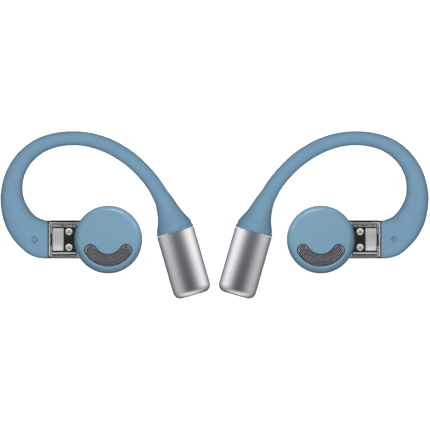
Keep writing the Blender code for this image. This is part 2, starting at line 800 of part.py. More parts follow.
def make_speaker_base():
    floor, rim = DISC_BOTTOM + DISC_WALL, DISC_SPLIT - GAP
    corner, fillet = 0.5 * MM, 1.0 * MM
    profile = [
        (0, floor),
        (DISC_INNER_R - corner, floor),
        (DISC_INNER_R, floor + corner),
        (DISC_INNER_R, rim),
        (DISC_R, rim),
    ]
    profile += arc((DISC_R - fillet, DISC_BOTTOM + fillet), fillet, 0, -90, 3)
    profile += [(0, DISC_BOTTOM)]
    base = at_disc(turned("right_speaker_base", profile, closed=False))
    lead_hole = bead(
        "base_lead_hole", SPEAKER_LEAD_X, HOUSING_Y, DISC_BOTTOM - GAP, floor + GAP, LEAD_HOLE_R, sides=8
    )
    return cut(base, lead_hole)


def make_speaker_grille():
    flange_top = CAP_CEILING - FIT
    flange_bottom = flange_top - GRILLE_THICKNESS
    grille_top = TOTAL_DEPTH - GRILLE_SINK
    pan = plate("right_speaker_grille", slot_outline(SLOT_HALF_WIDTH - FIT), flange_top - FIT, grille_top)
    flange = plate(
        "grille_flange", slot_outline(SLOT_HALF_WIDTH + GRILLE_FLANGE), flange_bottom, flange_top
    )
    return join(pan, flange)


def make_acoustic_cloth():
    top = CAP_CEILING - 3 * FIT
    outline = slot_outline(SLOT_HALF_WIDTH + GRILLE_FLANGE)
    return plate("right_acoustic_cloth", outline, top - CLOTH_THICKNESS, top)


def driver_piece(name, profile, closed=False):
    """A turned piece of the driver, from a profile in mm."""
    return at_disc(turned(name, [(r * MM, z * MM) for r, z in profile], closed, DRIVER_STEPS))


def make_driver_basket():
    profile = [(5.15, 11.3), (6.85, 11.3), (6.95, 12.2), (7.3, 12.2), (7.3, 10.5), (5.15, 10.5)]
    return driver_piece("right_driver_basket", profile, closed=True)


def make_driver_yoke():
    profile = [(0, 9.0), (4.55, 9.0), (4.55, 11.2), (5.0, 11.2), (5.0, 8.35), (0, 8.35)]
    return driver_piece("right_driver_yoke", profile)


def make_driver_magnet():
    return driver_piece("right_driver_magnet", [(0, 10.65), (3.5, 10.65), (3.5, 9.15), (0, 9.15)])


def make_driver_top_plate():
    return driver_piece("right_driver_top_plate", [(0, 11.3), (3.7, 11.3), (3.7, 10.8), (0, 10.8)])


def make_voice_coil():
    profile = [(3.95, 11.9), (4.3, 11.9), (4.3, 9.9), (3.95, 9.9)]
    return driver_piece("right_voice_coil", profile, closed=True)


def make_diaphragm():
    film = 0.15
    upper = [(0, 12.9), (2.0, 12.75), (3.9, 12.2), (4.3, 12.2), (5.6, 12.45), (6.75, 12.2)]
    lower = [(r, z - film) for r, z in reversed(upper)]
    return driver_piece("right_diaphragm", upper + lower)


def make_speaker_lead():
    points = [Vector((SPEAKER_LEAD_X, HOUSING_Y, z)) for z in (BOARD_TOP + FIT, DISC_BOTTOM, LEAD_END_Z)]
    return wire("right_speaker_lead", points, LEAD_R)


# Assembly

PIECES = (
    ("front", "silicone_blue", make_hook_front),
    ("front", "clear_plastic", make_clear_housing),
    ("front", "black_plastic", make_chassis),
    ("front", "circuit_board", make_main_board),
    ("front", "magnet_plating", make_dock_magnet),
    ("front", "contact_metal", lambda: make_contact(*contact_places()[0])),
    ("front", "contact_metal", lambda: make_contact(*contact_places()[1])),
    ("key", "black_plastic", make_pinch_key),
    ("front", "driver_steel", make_key_switch),
    ("front", "seal_rubber", make_housing_seal),
    ("front", "driver_steel", make_microphone),
    ("front", "shell_blue", make_speaker_base),
    ("front", "shell_blue", make_speaker_cap),
    ("front", "grille_metal", make_speaker_grille),
    ("front", "mesh_cloth", make_acoustic_cloth),
    ("front", "black_plastic", make_driver_basket),
    ("front", "driver_steel", make_driver_yoke),
    ("front", "magnet_plating", make_driver_magnet),
    ("front", "driver_steel", make_driver_top_plate),
    ("cone", "copper_wire", make_voice_coil),
    ("cone", "driver_film", make_diaphragm),
    ("front", "copper_wire", make_speaker_lead),
    ("rear", "silicone_blue", make_hook_rear),
    ("rear", "barrel_metal", make_barrel_shell),
    ("rear", "black_plastic", make_barrel_plug),
    ("rear", "cell_can", make_battery_cell),
)
SPLIT_PIECES = (
    ("spring_wire", make_memory_wires),
    ("copper_wire", make_battery_leads),
)

# Where each moving body's joint is, for its empty
JOINT_ORIGINS = {
    "rear": Vector((0, 0, 0)),
    "front": FLEX_AXIS,
    "key": Vector(((KEY_X0 + KEY_X1) / 2, HOUSING_Y + HOUSING_HALF, AXIS_Z)),
    "cone": Vector((DISC_X, DISC_Y, TOTAL_DEPTH)),
}
JOINT_PARENTS = {"rear": None, "front": "rear", "key": "front", "cone": "front"}


def make_empties():
    """One empty for each body, on its joint's axis, each under the body that carries it."""
    empties = {}
    for body, origin in JOINT_ORIGINS.items():
        empty = object_of(f"right_{body}_joint", None)
        carrier = JOINT_PARENTS[body]
        start = JOINT_ORIGINS[carrier] if carrier else Vector((0, 0, 0))
        empty.location = origin - start
        if carrier:
            empty.parent = empties[carrier]
        empties[body] = empty
    return empties


def settle(obj, material, origin):
    """Replaces a piece by its evaluated mesh, with its origin on its joint, and its material on it."""
    bpy.context.view_layer.update()
    evaluated = obj.evaluated_get(bpy.context.evaluated_depsgraph_get())
    mesh = bpy.data.meshes.new_from_object(evaluated)
    mesh.transform(Matrix.Translation(-origin) @ obj.matrix_world)
    weld(mesh)
    mesh.materials.clear()
    mesh.materials.append(material)
    mesh.shade_smooth()
    mesh.set_sharp_from_angle(angle=math.radians(35))
    name = obj.name
    bpy.data.objects.remove(obj)
    mesh.name = name
    return object_of(name, mesh)


def remove_helpers():
    for obj in list(bpy.data.objects):
        if obj.hide_render:
            bpy.data.objects.remove(obj)


def mirror_tree(source, parent):
    """Copies a body and what it carries. The copies share their meshes with the originals."""
    copy = source.copy()
    copy.name = source.name.replace("right_", "left_")
    bpy.context.scene.collection.objects.link(copy)
    copy.parent = parent
    for child in source.children:
        mirror_tree(child, copy)


def main():
    clear_scene()
    materials = make_materials()
    drafts = [(body, slot, maker()) for body, slot, maker in PIECES]
    for slot, maker in SPLIT_PIECES:
        front, rear = maker()
        drafts += [("front", slot, front), ("rear", slot, rear)]
    finished = [
        (body, settle(draft, materials[slot], JOINT_ORIGINS[body])) for body, slot, draft in drafts
    ]
    remove_helpers()
    empties = make_empties()
    for body, piece in finished:
        piece.parent = empties[body]
    mirror = object_of("left_bud", None)
    mirror.scale = (-1, 1, 1)
    mirror_tree(empties["rear"], mirror)
    collection = make_collection("open_ear_headphones")
    for obj in list(bpy.context.scene.collection.objects):
        bpy.context.scene.collection.objects.unlink(obj)
        collection.objects.link(obj)


main()
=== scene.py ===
"""Open-ear hook headphones: the finished look, built around their fixed CAD frame.

The frame is in metres, with +Z up and the ear-facing side of both buds up. Each piece is modelled for the
right ear's bud, which lies at -X, and the left ear's bud gets its mirror image.
"""

import json
from math import asin, cos, degrees, pi, radians, sin

import bmesh
import bpy
from bpy.props import FloatProperty, FloatVectorProperty, IntProperty, PointerProperty
from bpy.types import Operator, Panel, PropertyGroup
from mathutils import Matrix, Vector

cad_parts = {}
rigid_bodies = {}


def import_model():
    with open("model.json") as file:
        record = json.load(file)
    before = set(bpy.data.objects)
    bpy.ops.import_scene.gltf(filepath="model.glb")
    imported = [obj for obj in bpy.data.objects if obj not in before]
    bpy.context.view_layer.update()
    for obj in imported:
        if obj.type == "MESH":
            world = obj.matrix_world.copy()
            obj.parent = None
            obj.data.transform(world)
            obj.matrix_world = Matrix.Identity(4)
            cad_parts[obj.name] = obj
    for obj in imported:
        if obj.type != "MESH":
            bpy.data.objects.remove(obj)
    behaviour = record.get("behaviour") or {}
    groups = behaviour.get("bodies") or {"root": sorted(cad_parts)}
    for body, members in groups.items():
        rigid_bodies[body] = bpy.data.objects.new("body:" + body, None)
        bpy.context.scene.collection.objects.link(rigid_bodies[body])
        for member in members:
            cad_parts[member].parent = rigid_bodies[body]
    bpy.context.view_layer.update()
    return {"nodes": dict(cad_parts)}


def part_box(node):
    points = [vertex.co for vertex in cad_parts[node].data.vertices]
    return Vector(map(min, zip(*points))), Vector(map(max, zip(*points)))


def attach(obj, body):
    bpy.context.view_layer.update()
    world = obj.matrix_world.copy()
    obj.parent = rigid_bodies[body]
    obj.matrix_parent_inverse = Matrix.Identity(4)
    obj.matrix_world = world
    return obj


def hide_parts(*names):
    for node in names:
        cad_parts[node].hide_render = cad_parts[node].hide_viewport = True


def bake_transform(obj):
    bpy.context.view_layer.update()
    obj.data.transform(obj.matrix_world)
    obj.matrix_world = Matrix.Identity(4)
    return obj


bl_info = {
    "name": "Open-ear Hook Headphones",
    "version": (1, 0, 0),
    "blender": (4, 5, 0),
    "location": "3D View > Sidebar > Headphones",
    "description": "Builds a pair of open-ear hook headphones around their CAD frame",
    "category": "Object",
}

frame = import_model()

MM = 0.001
SIDES = (("right", 1), ("left", -1))
UP = Vector((0, 0, 1))
PAST = MM  # how far a cutter reaches past what it cuts
FIT = 0.1 * MM  # round a part that sits in a bay
RAIL_GAP = 0.3 * MM  # between the disc and what stands beside it
CONTACTS = ("upper_contact", "lower_contact")

# Places read from the frame, on the right bud
CAP_LOW, CAP_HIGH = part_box("right_speaker_cap")
BASE_LOW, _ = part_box("right_speaker_base")
DISC = Vector(((CAP_LOW.x + CAP_HIGH.x) / 2, (CAP_LOW.y + CAP_HIGH.y) / 2, 0))
DISC_R = (CAP_HIGH.x - CAP_LOW.x) / 2
HOUSING_LOW, HOUSING_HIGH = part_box("right_clear_housing")
HOUSING_Y = (HOUSING_LOW.y + HOUSING_HIGH.y) / 2
HOUSING_HALF = (HOUSING_HIGH.y - HOUSING_LOW.y) / 2
AXIS_Z = (HOUSING_LOW.z + HOUSING_HIGH.z) / 2
SEAL_LOW, SEAL_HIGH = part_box("right_housing_seal")
KEY_LOW, KEY_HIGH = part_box("right_pinch_key")
BARREL_LOW, BARREL_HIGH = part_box("right_barrel_shell")
BARREL_R = (BARREL_HIGH.z - BARREL_LOW.z) / 2
BARREL_LEAN = radians(15.95)
BARREL_AXIS = Vector((sin(BARREL_LEAN), -cos(BARREL_LEAN), 0))
BARREL_MOUTH = Vector((BARREL_LOW.x, BARREL_HIGH.y, AXIS_Z)) + BARREL_R * Vector(
    (cos(BARREL_LEAN), -sin(BARREL_LEAN), 0)
)

# The hook's centreline: x, y and width in mm, and the share of the section that is round
HOOK_STATIONS = (
    (-40.85, -6.05, 9.35, 0.26),
    (-42.0, -6.0, 9.35, 0.30),
    (-43.6, -5.45, 9.2, 0.38),
    (-46.2, -3.55, 8.1, 0.58),
    (-48.2, -0.8, 7.15, 0.80),
    (-49.45, 2.7, 6.05, 0.95),
    (-49.7, 6.1, 5.25, 1.0),
    (-48.86, 10.1, 4.55, 1.0),
    (-46.6, 13.9, 4.1, 1.0),
    (-43.1, 16.8, 3.8, 1.0),
    (-39.0, 18.32, 3.57, 1.0),
    (-34.7, 18.77, 3.44, 1.0),
    (-30.4, 18.33, 3.52, 1.0),
    (-25.6, 16.7, 3.65, 1.0),
    (-21.0, 13.9, 3.7, 1.0),
    (-17.4, 10.6, 3.7, 1.0),
    (-14.8, 7.4, 3.8, 1.0),
    (-13.2, 4.7, 4.1, 1.0),
    (-12.3, 3.2, 4.65, 1.0),
    (-11.25, 0.7, 5.8, 1.0),
    (-10.55, -1.1, 7.2, 1.0),
    (-9.98, -2.7, 8.75, 1.0),
    (-9.78, -3.5, 8.8, 1.0),
)
FLEX_STATION = 11
FLEX = Vector((HOOK_STATIONS[FLEX_STATION][0] * MM, HOOK_STATIONS[FLEX_STATION][1] * MM, AXIS_Z))
BEND_WAY = Vector((2, 1, 0)).normalized()  # leans, so that the hook's root stays out of the bend
BEND_SHARES = (0.4, -0.6)  # where the bend starts and ends about the flex, as shares of its length


def linear(hex_colour):
    """An sRGB hex colour as linear red, green and blue."""
    channels = [int(hex_colour[i : i + 2], 16) / 255 for i in (0, 2, 4)]
    return tuple(c / 12.92 if c <= 0.04045 else ((c + 0.055) / 1.055) ** 2.4 for c in channels)


# Settings that a user would change


def colour_setting(name, description, hex_colour):
    colour = linear(hex_colour)
    return FloatVectorProperty(
        name=name, description=description, default=colour, subtype="COLOR", size=3, min=0, max=1
    )


def length_setting(name, description, millimetres):
    metres = {"subtype": "DISTANCE", "unit": "LENGTH", "precision": 5}
    return FloatProperty(name=name, description=description, default=millimetres * MM, min=0, **metres)


def power_setting(name, description, watts):
    return FloatProperty(name=name, description=description, default=watts, min=0, unit="POWER")


def count_setting(name, description, count, least):
    return IntProperty(name=name, description=description, default=count, min=least)


class HookSettings(PropertyGroup):
    colour: colour_setting("Silicone", "Colour of the silicone skin", "5A778B")
    bend_length: length_setting("Bend length", "Stretch of the arch that bends when the hook opens", 17)
    lip: length_setting("Lip", "Radius of the rolled edge round the barrel's mouth", 0.42)
    dimple_radius: length_setting("Dimple radius", "Radius of the microphone's dimple", 0.76)
    dimple_depth: length_setting("Dimple depth", "Depth of the microphone's dimple", 0.9)
    sides: count_setting("Sides", "Points round the hook's section", 48, 12)
    rings: count_setting("Rings", "Rings for each span of the centreline", 8, 2)


class DiscSettings(PropertyGroup):
    colour: colour_setting("Shell", "Colour of the satin shell", "4B6778")
    edge_width: length_setting("Edge width", "Width of the disc's rounded edge", 1.4)
    edge_drop: length_setting("Edge drop", "Height of the disc's rounded edge", 2.8)
    crown: length_setting("Crown", "How far the face's middle stands above its edge", 0.12)
    slot_radius: length_setting("Slot radius", "Radius of the middle of the sound slot", 5.1)
    slot_half_width: length_setting("Slot half width", "Half the width of the sound slot", 1.52)
    slot_flare: length_setting("Slot flare", "Width of the slot's rounded rim", 0.22)
    slot_sweep: FloatProperty(
        name="Slot sweep",
        description="Angle from the slot's middle to the centre of its round end",
        default=radians(58.5),
        subtype="ANGLE",
        unit="ROTATION",
    )
    hole_radius: length_setting("Hole radius", "Radius of each hole in the grille", 0.185)
    hole_pitch: length_setting("Hole pitch", "Distance between holes, and between their rows", 0.43)
    hole_rows: count_setting("Hole rows", "Rows of holes across the slot", 6, 1)


class HousingSettings(PropertyGroup):
    colour: colour_setting("Clear plastic", "Tint of the clear housing", "F4F6F7")
    wall: length_setting("Wall", "Thickness of the clear walls", 0.5)
    edge_radius: length_setting("Edge radius", "Radius of the long edges", 0.35)
    plate_colour: colour_setting("Plate", "Colour of the docking plate", "DCDCDA")


class BarrelSettings(PropertyGroup):
    colour: colour_setting("Aluminium", "Colour of the anodised barrel", "CBCCD0")
    edge_radius: length_setting("Edge radius", "Radius of the edge round the flat end", 1.8)
    wall: length_setting("Wall", "Thickness of the drawn wall", 0.45)


class StageSettings(PropertyGroup):
    view_width: length_setting("View width", "Width that the camera takes in at the buds", 105.5)
    camera_height: length_setting("Camera height", "Height of the camera above the floor", 2000)
    key_power: power_setting("Key power", "Power of the overhead diffuser, which scales the others", 14.5)
    strip_power: power_setting("Strip power", "Power of each long strip, which scales the short ones", 4.0)
    floor_glow: FloatProperty(name="Floor glow", description="Light from the lit table", default=0.45, min=0)
    floor_colour: colour_setting("Floor", "Colour of the paper floor", "F7F7F7")


class HeadphoneSettings(PropertyGroup):
    hook: PointerProperty(type=HookSettings)
    disc: PointerProperty(type=DiscSettings)
    housing: PointerProperty(type=HousingSettings)
    barrel: PointerProperty(type=BarrelSettings)
    stage: PointerProperty(type=StageSettings)


# Meshes


def mesh_of(bm, name):
    bmesh.ops.recalc_face_normals(bm, faces=bm.faces)
    mesh = bpy.data.meshes.new(name)
    bm.to_mesh(mesh)
    bm.free()
    return mesh


def bridge(bm, rows):
    """Quads between neighbouring rows of vertices that run all the way round."""
    for first, second in zip(rows, rows[1:]):
        for i in range(len(first)):
            j = (i + 1) % len(first)
            bm.faces.new((first[i], first[j], second[j], second[i]))


def loft_mesh(name, rings):
    """A solid through rings of points, with a flat face at each end."""
    bm = bmesh.new()
    rows = [[bm.verts.new(point) for point in ring] for ring in rings]
    bridge(bm, rows)
    bm.faces.new(rows[0])
    bm.faces.new(rows[-1])
    return mesh_of(bm, name)


def turned_mesh(name, profile, steps, origin, turn=Matrix.Identity(4)):
    """A profile of (radius, height) whose ends are on the axis, turned about Z and then put in place."""
    bm = bmesh.new()
    angles = [2 * pi * i / steps for i in range(steps)]
    rows = [[bm.verts.new((r * cos(a), r * sin(a), z)) for a in angles] for r, z in profile[1:-1]]
    bridge(bm, rows)
    for (_, z), row in ((profile[0], rows[0]), (profile[-1], rows[-1])):
        pole = bm.verts.new((0, 0, z))
        for i in range(steps):
            bm.faces.new((pole, row[i], row[(i + 1) % steps]))
    bmesh.ops.transform(bm, matrix=Matrix.Translation(origin) @ turn, verts=bm.verts)
    return mesh_of(bm, name)


def block_mesh(name, x, y, z, edge=0.0, segments=3):
    """A box from its lowest and highest value on each axis, with rounded edges."""
    bm = bmesh.new()
    bmesh.ops.create_cube(bm, size=1)
    size = [high - low for low, high in (x, y, z)]
    middle = [(low + high) / 2 for low, high in (x, y, z)]
    stretch = Matrix.Translation(middle) @ Matrix.Diagonal((*size, 1))
    bmesh.ops.transform(bm, matrix=stretch, verts=bm.verts)
    if edge:
        rounding = {"offset": edge, "segments": segments, "profile": 0.5, "clamp_overlap": True}
        bmesh.ops.bevel(bm, geom=bm.edges[:], affect="EDGES", **rounding)
    return mesh_of(bm, name)


def post_mesh(name, centres, z, radius, sides):
    """Round upright posts, all from the one height to the other."""
    bm = bmesh.new()
    post = {"cap_ends": True, "segments": sides, "radius1": radius, "radius2": radius, "depth": z[1] - z[0]}
    for centre in centres:
        middle = Matrix.Translation((centre.x, centre.y, (z[0] + z[1]) / 2))
        bmesh.ops.create_cone(bm, matrix=middle, **post)
    return mesh_of(bm, name)


def spans(low, high, gap=0.0):
    """A box's lowest and highest value on each axis, with a gap left all round it."""
    return [(a - gap, b + gap) for a, b in zip(low, high)]


def arc(centre, radius, start, end, steps):
    """Points on an arc, both ends included, with angles in degrees."""
    points = []
    for i in range(steps + 1):
        angle = radians(start + (end - start) * i / steps)
        points.append((centre[0] + radius * cos(angle), centre[1] + radius * sin(angle)))
    return points


def carved(mesh, *cutters, operation="DIFFERENCE"):
    """The mesh with the cutters taken out of it, or joined to it."""
    whole = bpy.data.objects.new("whole", mesh)
    helpers = [bpy.data.objects.new("cutter", cutter) for cutter in cutters]
    for obj in (whole, *helpers):
        bpy.context.scene.collection.objects.link(obj)
    for helper in helpers:
        modifier = whole.modifiers.new("carve", "BOOLEAN")
        modifier.operation = operation
        modifier.object = helper
    bpy.context.view_layer.update()
    result = bpy.data.meshes.new_from_object(whole.evaluated_get(bpy.context.evaluated_depsgraph_get()))
    for obj in (whole, *helpers):
        bpy.data.objects.remove(obj)
    return result


def blend_of(a, b, c, d, t):
    """The Catmull-Rom value between b and c."""
    return 0.5 * (
        2 * b + (c - a) * t + (2 * a - 5 * b + 4 * c - d) * t * t + (3 * b - a - 3 * c + d) * t**3
    )


def smooth_stations(stations, steps):
    """Stations on a smooth curve through the given ones."""
    last = len(stations) - 1
    made = []
    for i in range(last):
        around = [stations[max(0, min(last, i + k))] for k in (-1, 0, 1, 2)]
        for step in range(steps):
            made.append([blend_of(*values, step / steps) for values in zip(*around)])
    made.append(list(stations[last]))
    return made


def hook_path(steps):
    """(centre, direction, half width, round share) along the hook, from the housing to the barrel."""
    stations = smooth_stations(HOOK_STATIONS, steps)
    centres = [Vector((x * MM, y * MM, AXIS_Z)) for x, y, _, _ in stations]
    last = len(centres) - 1
    path = []
    for i, (_, _, width, share) in enumerate(stations):
        along = (centres[min(last, i + 1)] - centres[max(0, i - 1)]).normalized()
        if i == 0:
            along = Vector((-1, 0, 0))
        if i == last:
            along = BARREL_AXIS
        path.append((centres[i], along, width * MM / 2, min(1.0, share)))
    return path


def soft_square(centre, along, half, share, sides):
    """A ring across `along`: a circle at share 1, and squarer as the share falls."""
    sideways = UP.cross(along).normalized()
    ring = []
    for i in range(sides):
        angle = 2 * pi * (i + 0.5) / sides
        c, s = cos(angle), sin(angle)
        reach = half * (abs(c) ** (2 / share) + abs(s) ** (2 / share)) ** (-share / 2)
        ring.append(centre + sideways * (reach * c) + UP * (reach * s))
    return ring


def slot_outline(radius, sweep, half_width, round_steps=10, long_steps=28):
    """The banana-shaped outline about the disc's centre, with round ends."""
    down, reach = -90, degrees(sweep)
    right, left = down + reach, down - reach
    left_end, right_end = (arc((0, 0), radius, angle, angle, 1)[0] for angle in (left, right))
    outline = arc((0, 0), radius + half_width, left, right, long_steps)
    outline += arc(right_end, half_width, right, right + 180, round_steps)[1:-1]
    outline += arc((0, 0), radius - half_width, right, left, long_steps)
    outline += arc(left_end, half_width, left + 180, left + 360, round_steps)[1:-1]
    return outline


def slot_loft(name, settings, levels):
    """A solid on the slot's outline, through (extra half width, height) levels."""
    rings = []
    for extra, z in levels:
        outline = slot_outline(settings.slot_radius, settings.slot_sweep, settings.slot_half_width + extra)
        rings.append([Vector((DISC.x + x, DISC.y + y, z)) for x, y in outline])
    return loft_mesh(name, rings)


# Pieces


def shell_collection(side):
    """The disc's shells and grille, which the strips light on their own."""
    name = f"{side}_shells"
    return bpy.data.collections.get(name) or bpy.data.collections.new(name)


def bud_collection(side):
    """Every piece and CAD node of one bud, which its own diffuser lights."""
    name = f"{side}_bud"
    collection = bpy.data.collections.get(name)
    if collection is None:
        collection = bpy.data.collections.new(name)
        for node, obj in frame["nodes"].items():
            if node.startswith(side):
                collection.objects.link(obj)
    return collection


def mirrored(mesh, sign):
    copy = mesh.copy()
    if sign < 0:
        copy.transform(Matrix.Diagonal((-1, 1, 1, 1)))
        copy.flip_normals()
    return copy


def add_pieces(name, mesh, material, slot, *replaced, body="front", crease=35, bend_length=0.0):
    """The right bud's piece and its mirror image. Each rides on its body, or, when given a bend length, is
    baked in place and left off the bodies.
    """
    mesh.materials.clear()
    mesh.materials.append(material)
    mesh.shade_smooth()
    mesh.set_sharp_from_angle(angle=radians(crease))
    pair = []
    for side, sign in SIDES:
        obj = bpy.data.objects.new(f"{side}_{name}", mirrored(mesh, sign))
        bpy.context.scene.collection.objects.link(obj)
        bud_collection(side).objects.link(obj)
        if bend_length:
            start, end = (FLEX + BEND_WAY * bend_length * share for share in BEND_SHARES)
            start.x, end.x = sign * start.x, sign * end.x
            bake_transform(obj)
        else:
            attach(obj, f"{side}_{body}")
        if replaced:
            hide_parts(*[f"{side}_{node}" for node in replaced])
        pair.append(obj)
    return pair


def keep_out_of_reflections():
    """Lights each piece as if it lay alone in the tent."""
    for side, _ in SIDES:
        for obj in bud_collection(side).objects:
            obj.visible_glossy = False


def dress(node, material):
    """Gives a CAD node on both buds its finished material."""
    for side, _ in SIDES:
        obj = frame["nodes"][f"{side}_{node}"]
        if obj.material_slots:
            obj.material_slots[0].material = material
        else:
            obj.data.materials.append(material)


# Materials


def add_node(material, kind, settings=None, inputs=None):
    """Adds one shader node with its settings. An input is a value, or a socket to link from."""
    tree = material.node_tree
    node = tree.nodes.new("ShaderNode" + kind)
    for name, value in (settings or {}).items():
        setattr(node, name, value)
    for name, value in (inputs or {}).items():
        if isinstance(value, bpy.types.NodeSocket):
            tree.links.new(value, node.inputs[name])
        else:
            node.inputs[name].default_value = value
    return node


def new_material(name, values):
    """A material whose shader has these constant values."""
    material = bpy.data.materials.new(name)
    material.use_nodes = True
    shader = material.node_tree.nodes["Principled BSDF"]
    for socket, value in values.items():
        shader.inputs[socket].default_value = value
    return material


def feed(material, output, socket):
    """Links an output to one of the shader's inputs."""
    shader = material.node_tree.nodes["Principled BSDF"]
    material.node_tree.links.new(output, shader.inputs[socket])


def mottle(material, spacing_mm, stretch=(1, 1, 1), detail=2.0, roughness=0.5):
    """An uneven field whose spots are about this far apart, and longer on an axis where stretch is small."""
    coords = add_node(material, "TexCoord")
    mapping = add_node(material, "Mapping", inputs={"Vector": coords.outputs["Object"], "Scale": stretch})
    spots = {"Vector": mapping.outputs["Vector"], "Scale": 1 / (spacing_mm * MM)}
    spots |= {"Detail": detail, "Roughness": roughness}
    return add_node(material, "TexNoise", inputs=spots).outputs["Fac"]


def surface(material, field, tones=(), gloss=(), relief=(), stops=(0.3, 0.7)):
    """Lets a field set the tone between two colours, the roughness between two values, and a relief in mm."""
    if tones:
        ramp = add_node(material, "ValToRGB", inputs={"Fac": field})
        for stop, position, tone in zip(ramp.color_ramp.elements, stops, tones):
            stop.position = position
            stop.color = (*tone, 1)
        feed(material, ramp.outputs["Color"], "Base Color")
    if gloss:
        low, high = gloss
        spread = add_node(material, "MapRange", inputs={"Value": field, "To Min": low, "To Max": high})
        feed(material, spread.outputs["Result"], "Roughness")
    if relief:
        height, strength = relief
        bump = {"Height": field, "Strength": strength, "Distance": height * MM}
        feed(material, add_node(material, "Bump", inputs=bump).outputs["Normal"], "Normal")
    return material


def shades(colour, dark, light):
    """A colour made darker and lighter by two factors."""
    return [[min(1.0, c * factor) for c in colour] for factor in (dark, light)]


def tones_of(dark, light):
    return linear(dark), linear(light)


def moulded_silicone(colour):
    """Liquid silicone rubber, moulded with a soft-touch skin: matt, with hardly any gloss at its edges."""
    material = new_material("moulded silicone", {"IOR": 1.41, "Specular IOR Level": 0.15})
    surface(material, mottle(material, 3.0, detail=3.0), shades(colour, 0.97, 1.03))
    return surface(material, mottle(material, 0.09), gloss=(0.68, 0.8), relief=(0.004, 0.5))


def satin_shell(colour):
    """Moulded PC/ABS under satin lacquer: smoother than the silicone, so its rim takes a crisp highlight."""
    lacquer = {"IOR": 1.5, "Specular IOR Level": 0.25, "Coat Weight": 0.08, "Coat Roughness": 0.15}
    material = new_material("satin lacquered shell", lacquer)
    surface(material, mottle(material, 4.0, detail=3.0), shades(colour, 0.985, 1.015))
    return surface(material, mottle(material, 0.12), gloss=(0.27, 0.33), relief=(0.001, 0.3))


def clear_polycarbonate(colour):
    """Clear moulded polycarbonate: its edges go dark and bright, and faint polish marks show."""
    clear = {"IOR": 1.585, "Specular IOR Level": 0.25, "Transmission Weight": 1.0, "Base Color": (*colour, 1)}
    material = new_material("clear polycarbonate", clear)
    return surface(material, mottle(material, 1.2), gloss=(0.02, 0.05))


def glass_filled_nylon():
    """Black moulded glass-filled nylon: matt, with grey flecks where fibres reach the surface."""
    material = new_material("glass filled nylon", {"IOR": 1.53, "Specular IOR Level": 0.2})
    flecks, tones = mottle(material, 0.35, detail=4.0, roughness=0.7), tones_of("030304", "1C1C1E")
    return surface(material, flecks, tones, gloss=(0.35, 0.55), relief=(0.02, 0.6), stops=(0.5, 0.85))


def black_abs():
    """Black moulded ABS of the pinch strip, its bezel and the driver's basket: even and satin."""
    material = new_material("black moulded ABS", {"IOR": 1.54, "Specular IOR Level": 0.2})
    return surface(material, mottle(material, 0.1), tones_of("070708", "101011"), gloss=(0.35, 0.45))


def pale_abs():
    """Moulded ABS of the end bracket, seen through the clear wall: grey and satin, with faint flow marks."""
    material = new_material("natural ABS", {"IOR": 1.54})
    flow = mottle(material, 0.8, stretch=(1, 0.3, 1), detail=3.0)
    return surface(material, flow, tones_of("737577", "ACAEB0"), gloss=(0.3, 0.45))


def wall_shade_film():
    """A grey film along the clear wall on the housing's -Y side, even and half glossy; its grey is painted
    shade of the clear wall.
    """
    material = new_material("polyester film", {"IOR": 1.6})
    grain = mottle(material, 0.6, detail=3.0)
    return surface(material, grain, tones_of("4A4A4B", "77777A"), gloss=(0.3, 0.4))


def grey_foam():
    """Die-cut open-cell gasket foam: mottled grey, and darkest in the bump's pits, where the dark is painted
    shade.
    """
    material = new_material("gasket foam", {"IOR": 1.45, "Roughness": 0.9})
    pits_and_pit_shade = mottle(material, 0.5, detail=5.0, roughness=0.75)
    # The field that sinks the pits also darkens them: painted shade in the pits.
    return surface(material, pits_and_pit_shade, tones_of("222222", "8F8C8A"), relief=(0.12, 0.9), stops=(0.36, 0.64))


def seal_rubber():
    """Moulded black nitrile: matt, with a light bloom."""
    material = new_material("seal rubber", {"IOR": 1.52, "Roughness": 0.75})
    return surface(material, mottle(material, 0.4), tones_of("101011", "1C1C1E"))


def plated_steel(colour):
    """Nickel on pressed steel, for the docking plate and the rails: bright, with drawing marks along it."""
    material = new_material("nickel plated steel", {"Metallic": 0.72})
    marks = mottle(material, 0.12, stretch=(1, 0.08, 1), detail=3.0)
    return surface(material, marks, shades(colour, 0.9, 1.06), gloss=(0.3, 0.4), relief=(0.003, 0.4))


def plated_contact():
    """Hard-plated contact pad: a near-mirror dome that is dulled a little by docking."""
    material = new_material("plated contact", {"Metallic": 0.85})
    wear = mottle(material, 0.3, detail=4.0)
    return surface(material, wear, tones_of("B4B2AE", "C8C6C2"), gloss=(0.16, 0.34))


def anodised_aluminium(colour):
    """Bead-blasted, clear-anodised aluminium: a soft metallic sheen with a very fine even grain."""
    material = new_material("satin anodised aluminium", {"Metallic": 1.0})
    blast = mottle(material, 0.14, detail=4.0)
    return surface(material, blast, shades(colour, 0.96, 1.04), gloss=(0.27, 0.33), relief=(0.002, 0.4))


def perforated_steel():
    """Etched stainless sheet with a dark coating: metallic on its face, and worn bright on its lands."""
    material = new_material("etched grille steel", {"Metallic": 0.7})
    wear = mottle(material, 0.25, detail=4.0)
    return surface(material, wear, tones_of("67676D", "939399"), gloss=(0.25, 0.38))


THREAD_WAVE = 0.314  # the wave scale, times its spacing, at which one band is one thread


def acoustic_weave():
    """Black woven polyester at 0.1 mm a thread, drawn at 0.2 mm so that it can show through the holes."""
    material = new_material("acoustic weave", {"IOR": 1.5, "Roughness": 0.9})
    coords = add_node(material, "TexCoord")
    bands = {"Vector": coords.outputs["Object"], "Scale": THREAD_WAVE / (0.2 * MM)}
    warp, weft = (
        add_node(material, "TexWave", {"wave_type": "BANDS", "bands_direction": way}, bands).outputs["Fac"]
        for way in ("X", "Y")
    )
    crossing = add_node(material, "Math", {"operation": "MULTIPLY"}, {0: warp, 1: weft})
    return surface(material, crossing.outputs["Value"], tones_of("050505", "1B1B1C"))


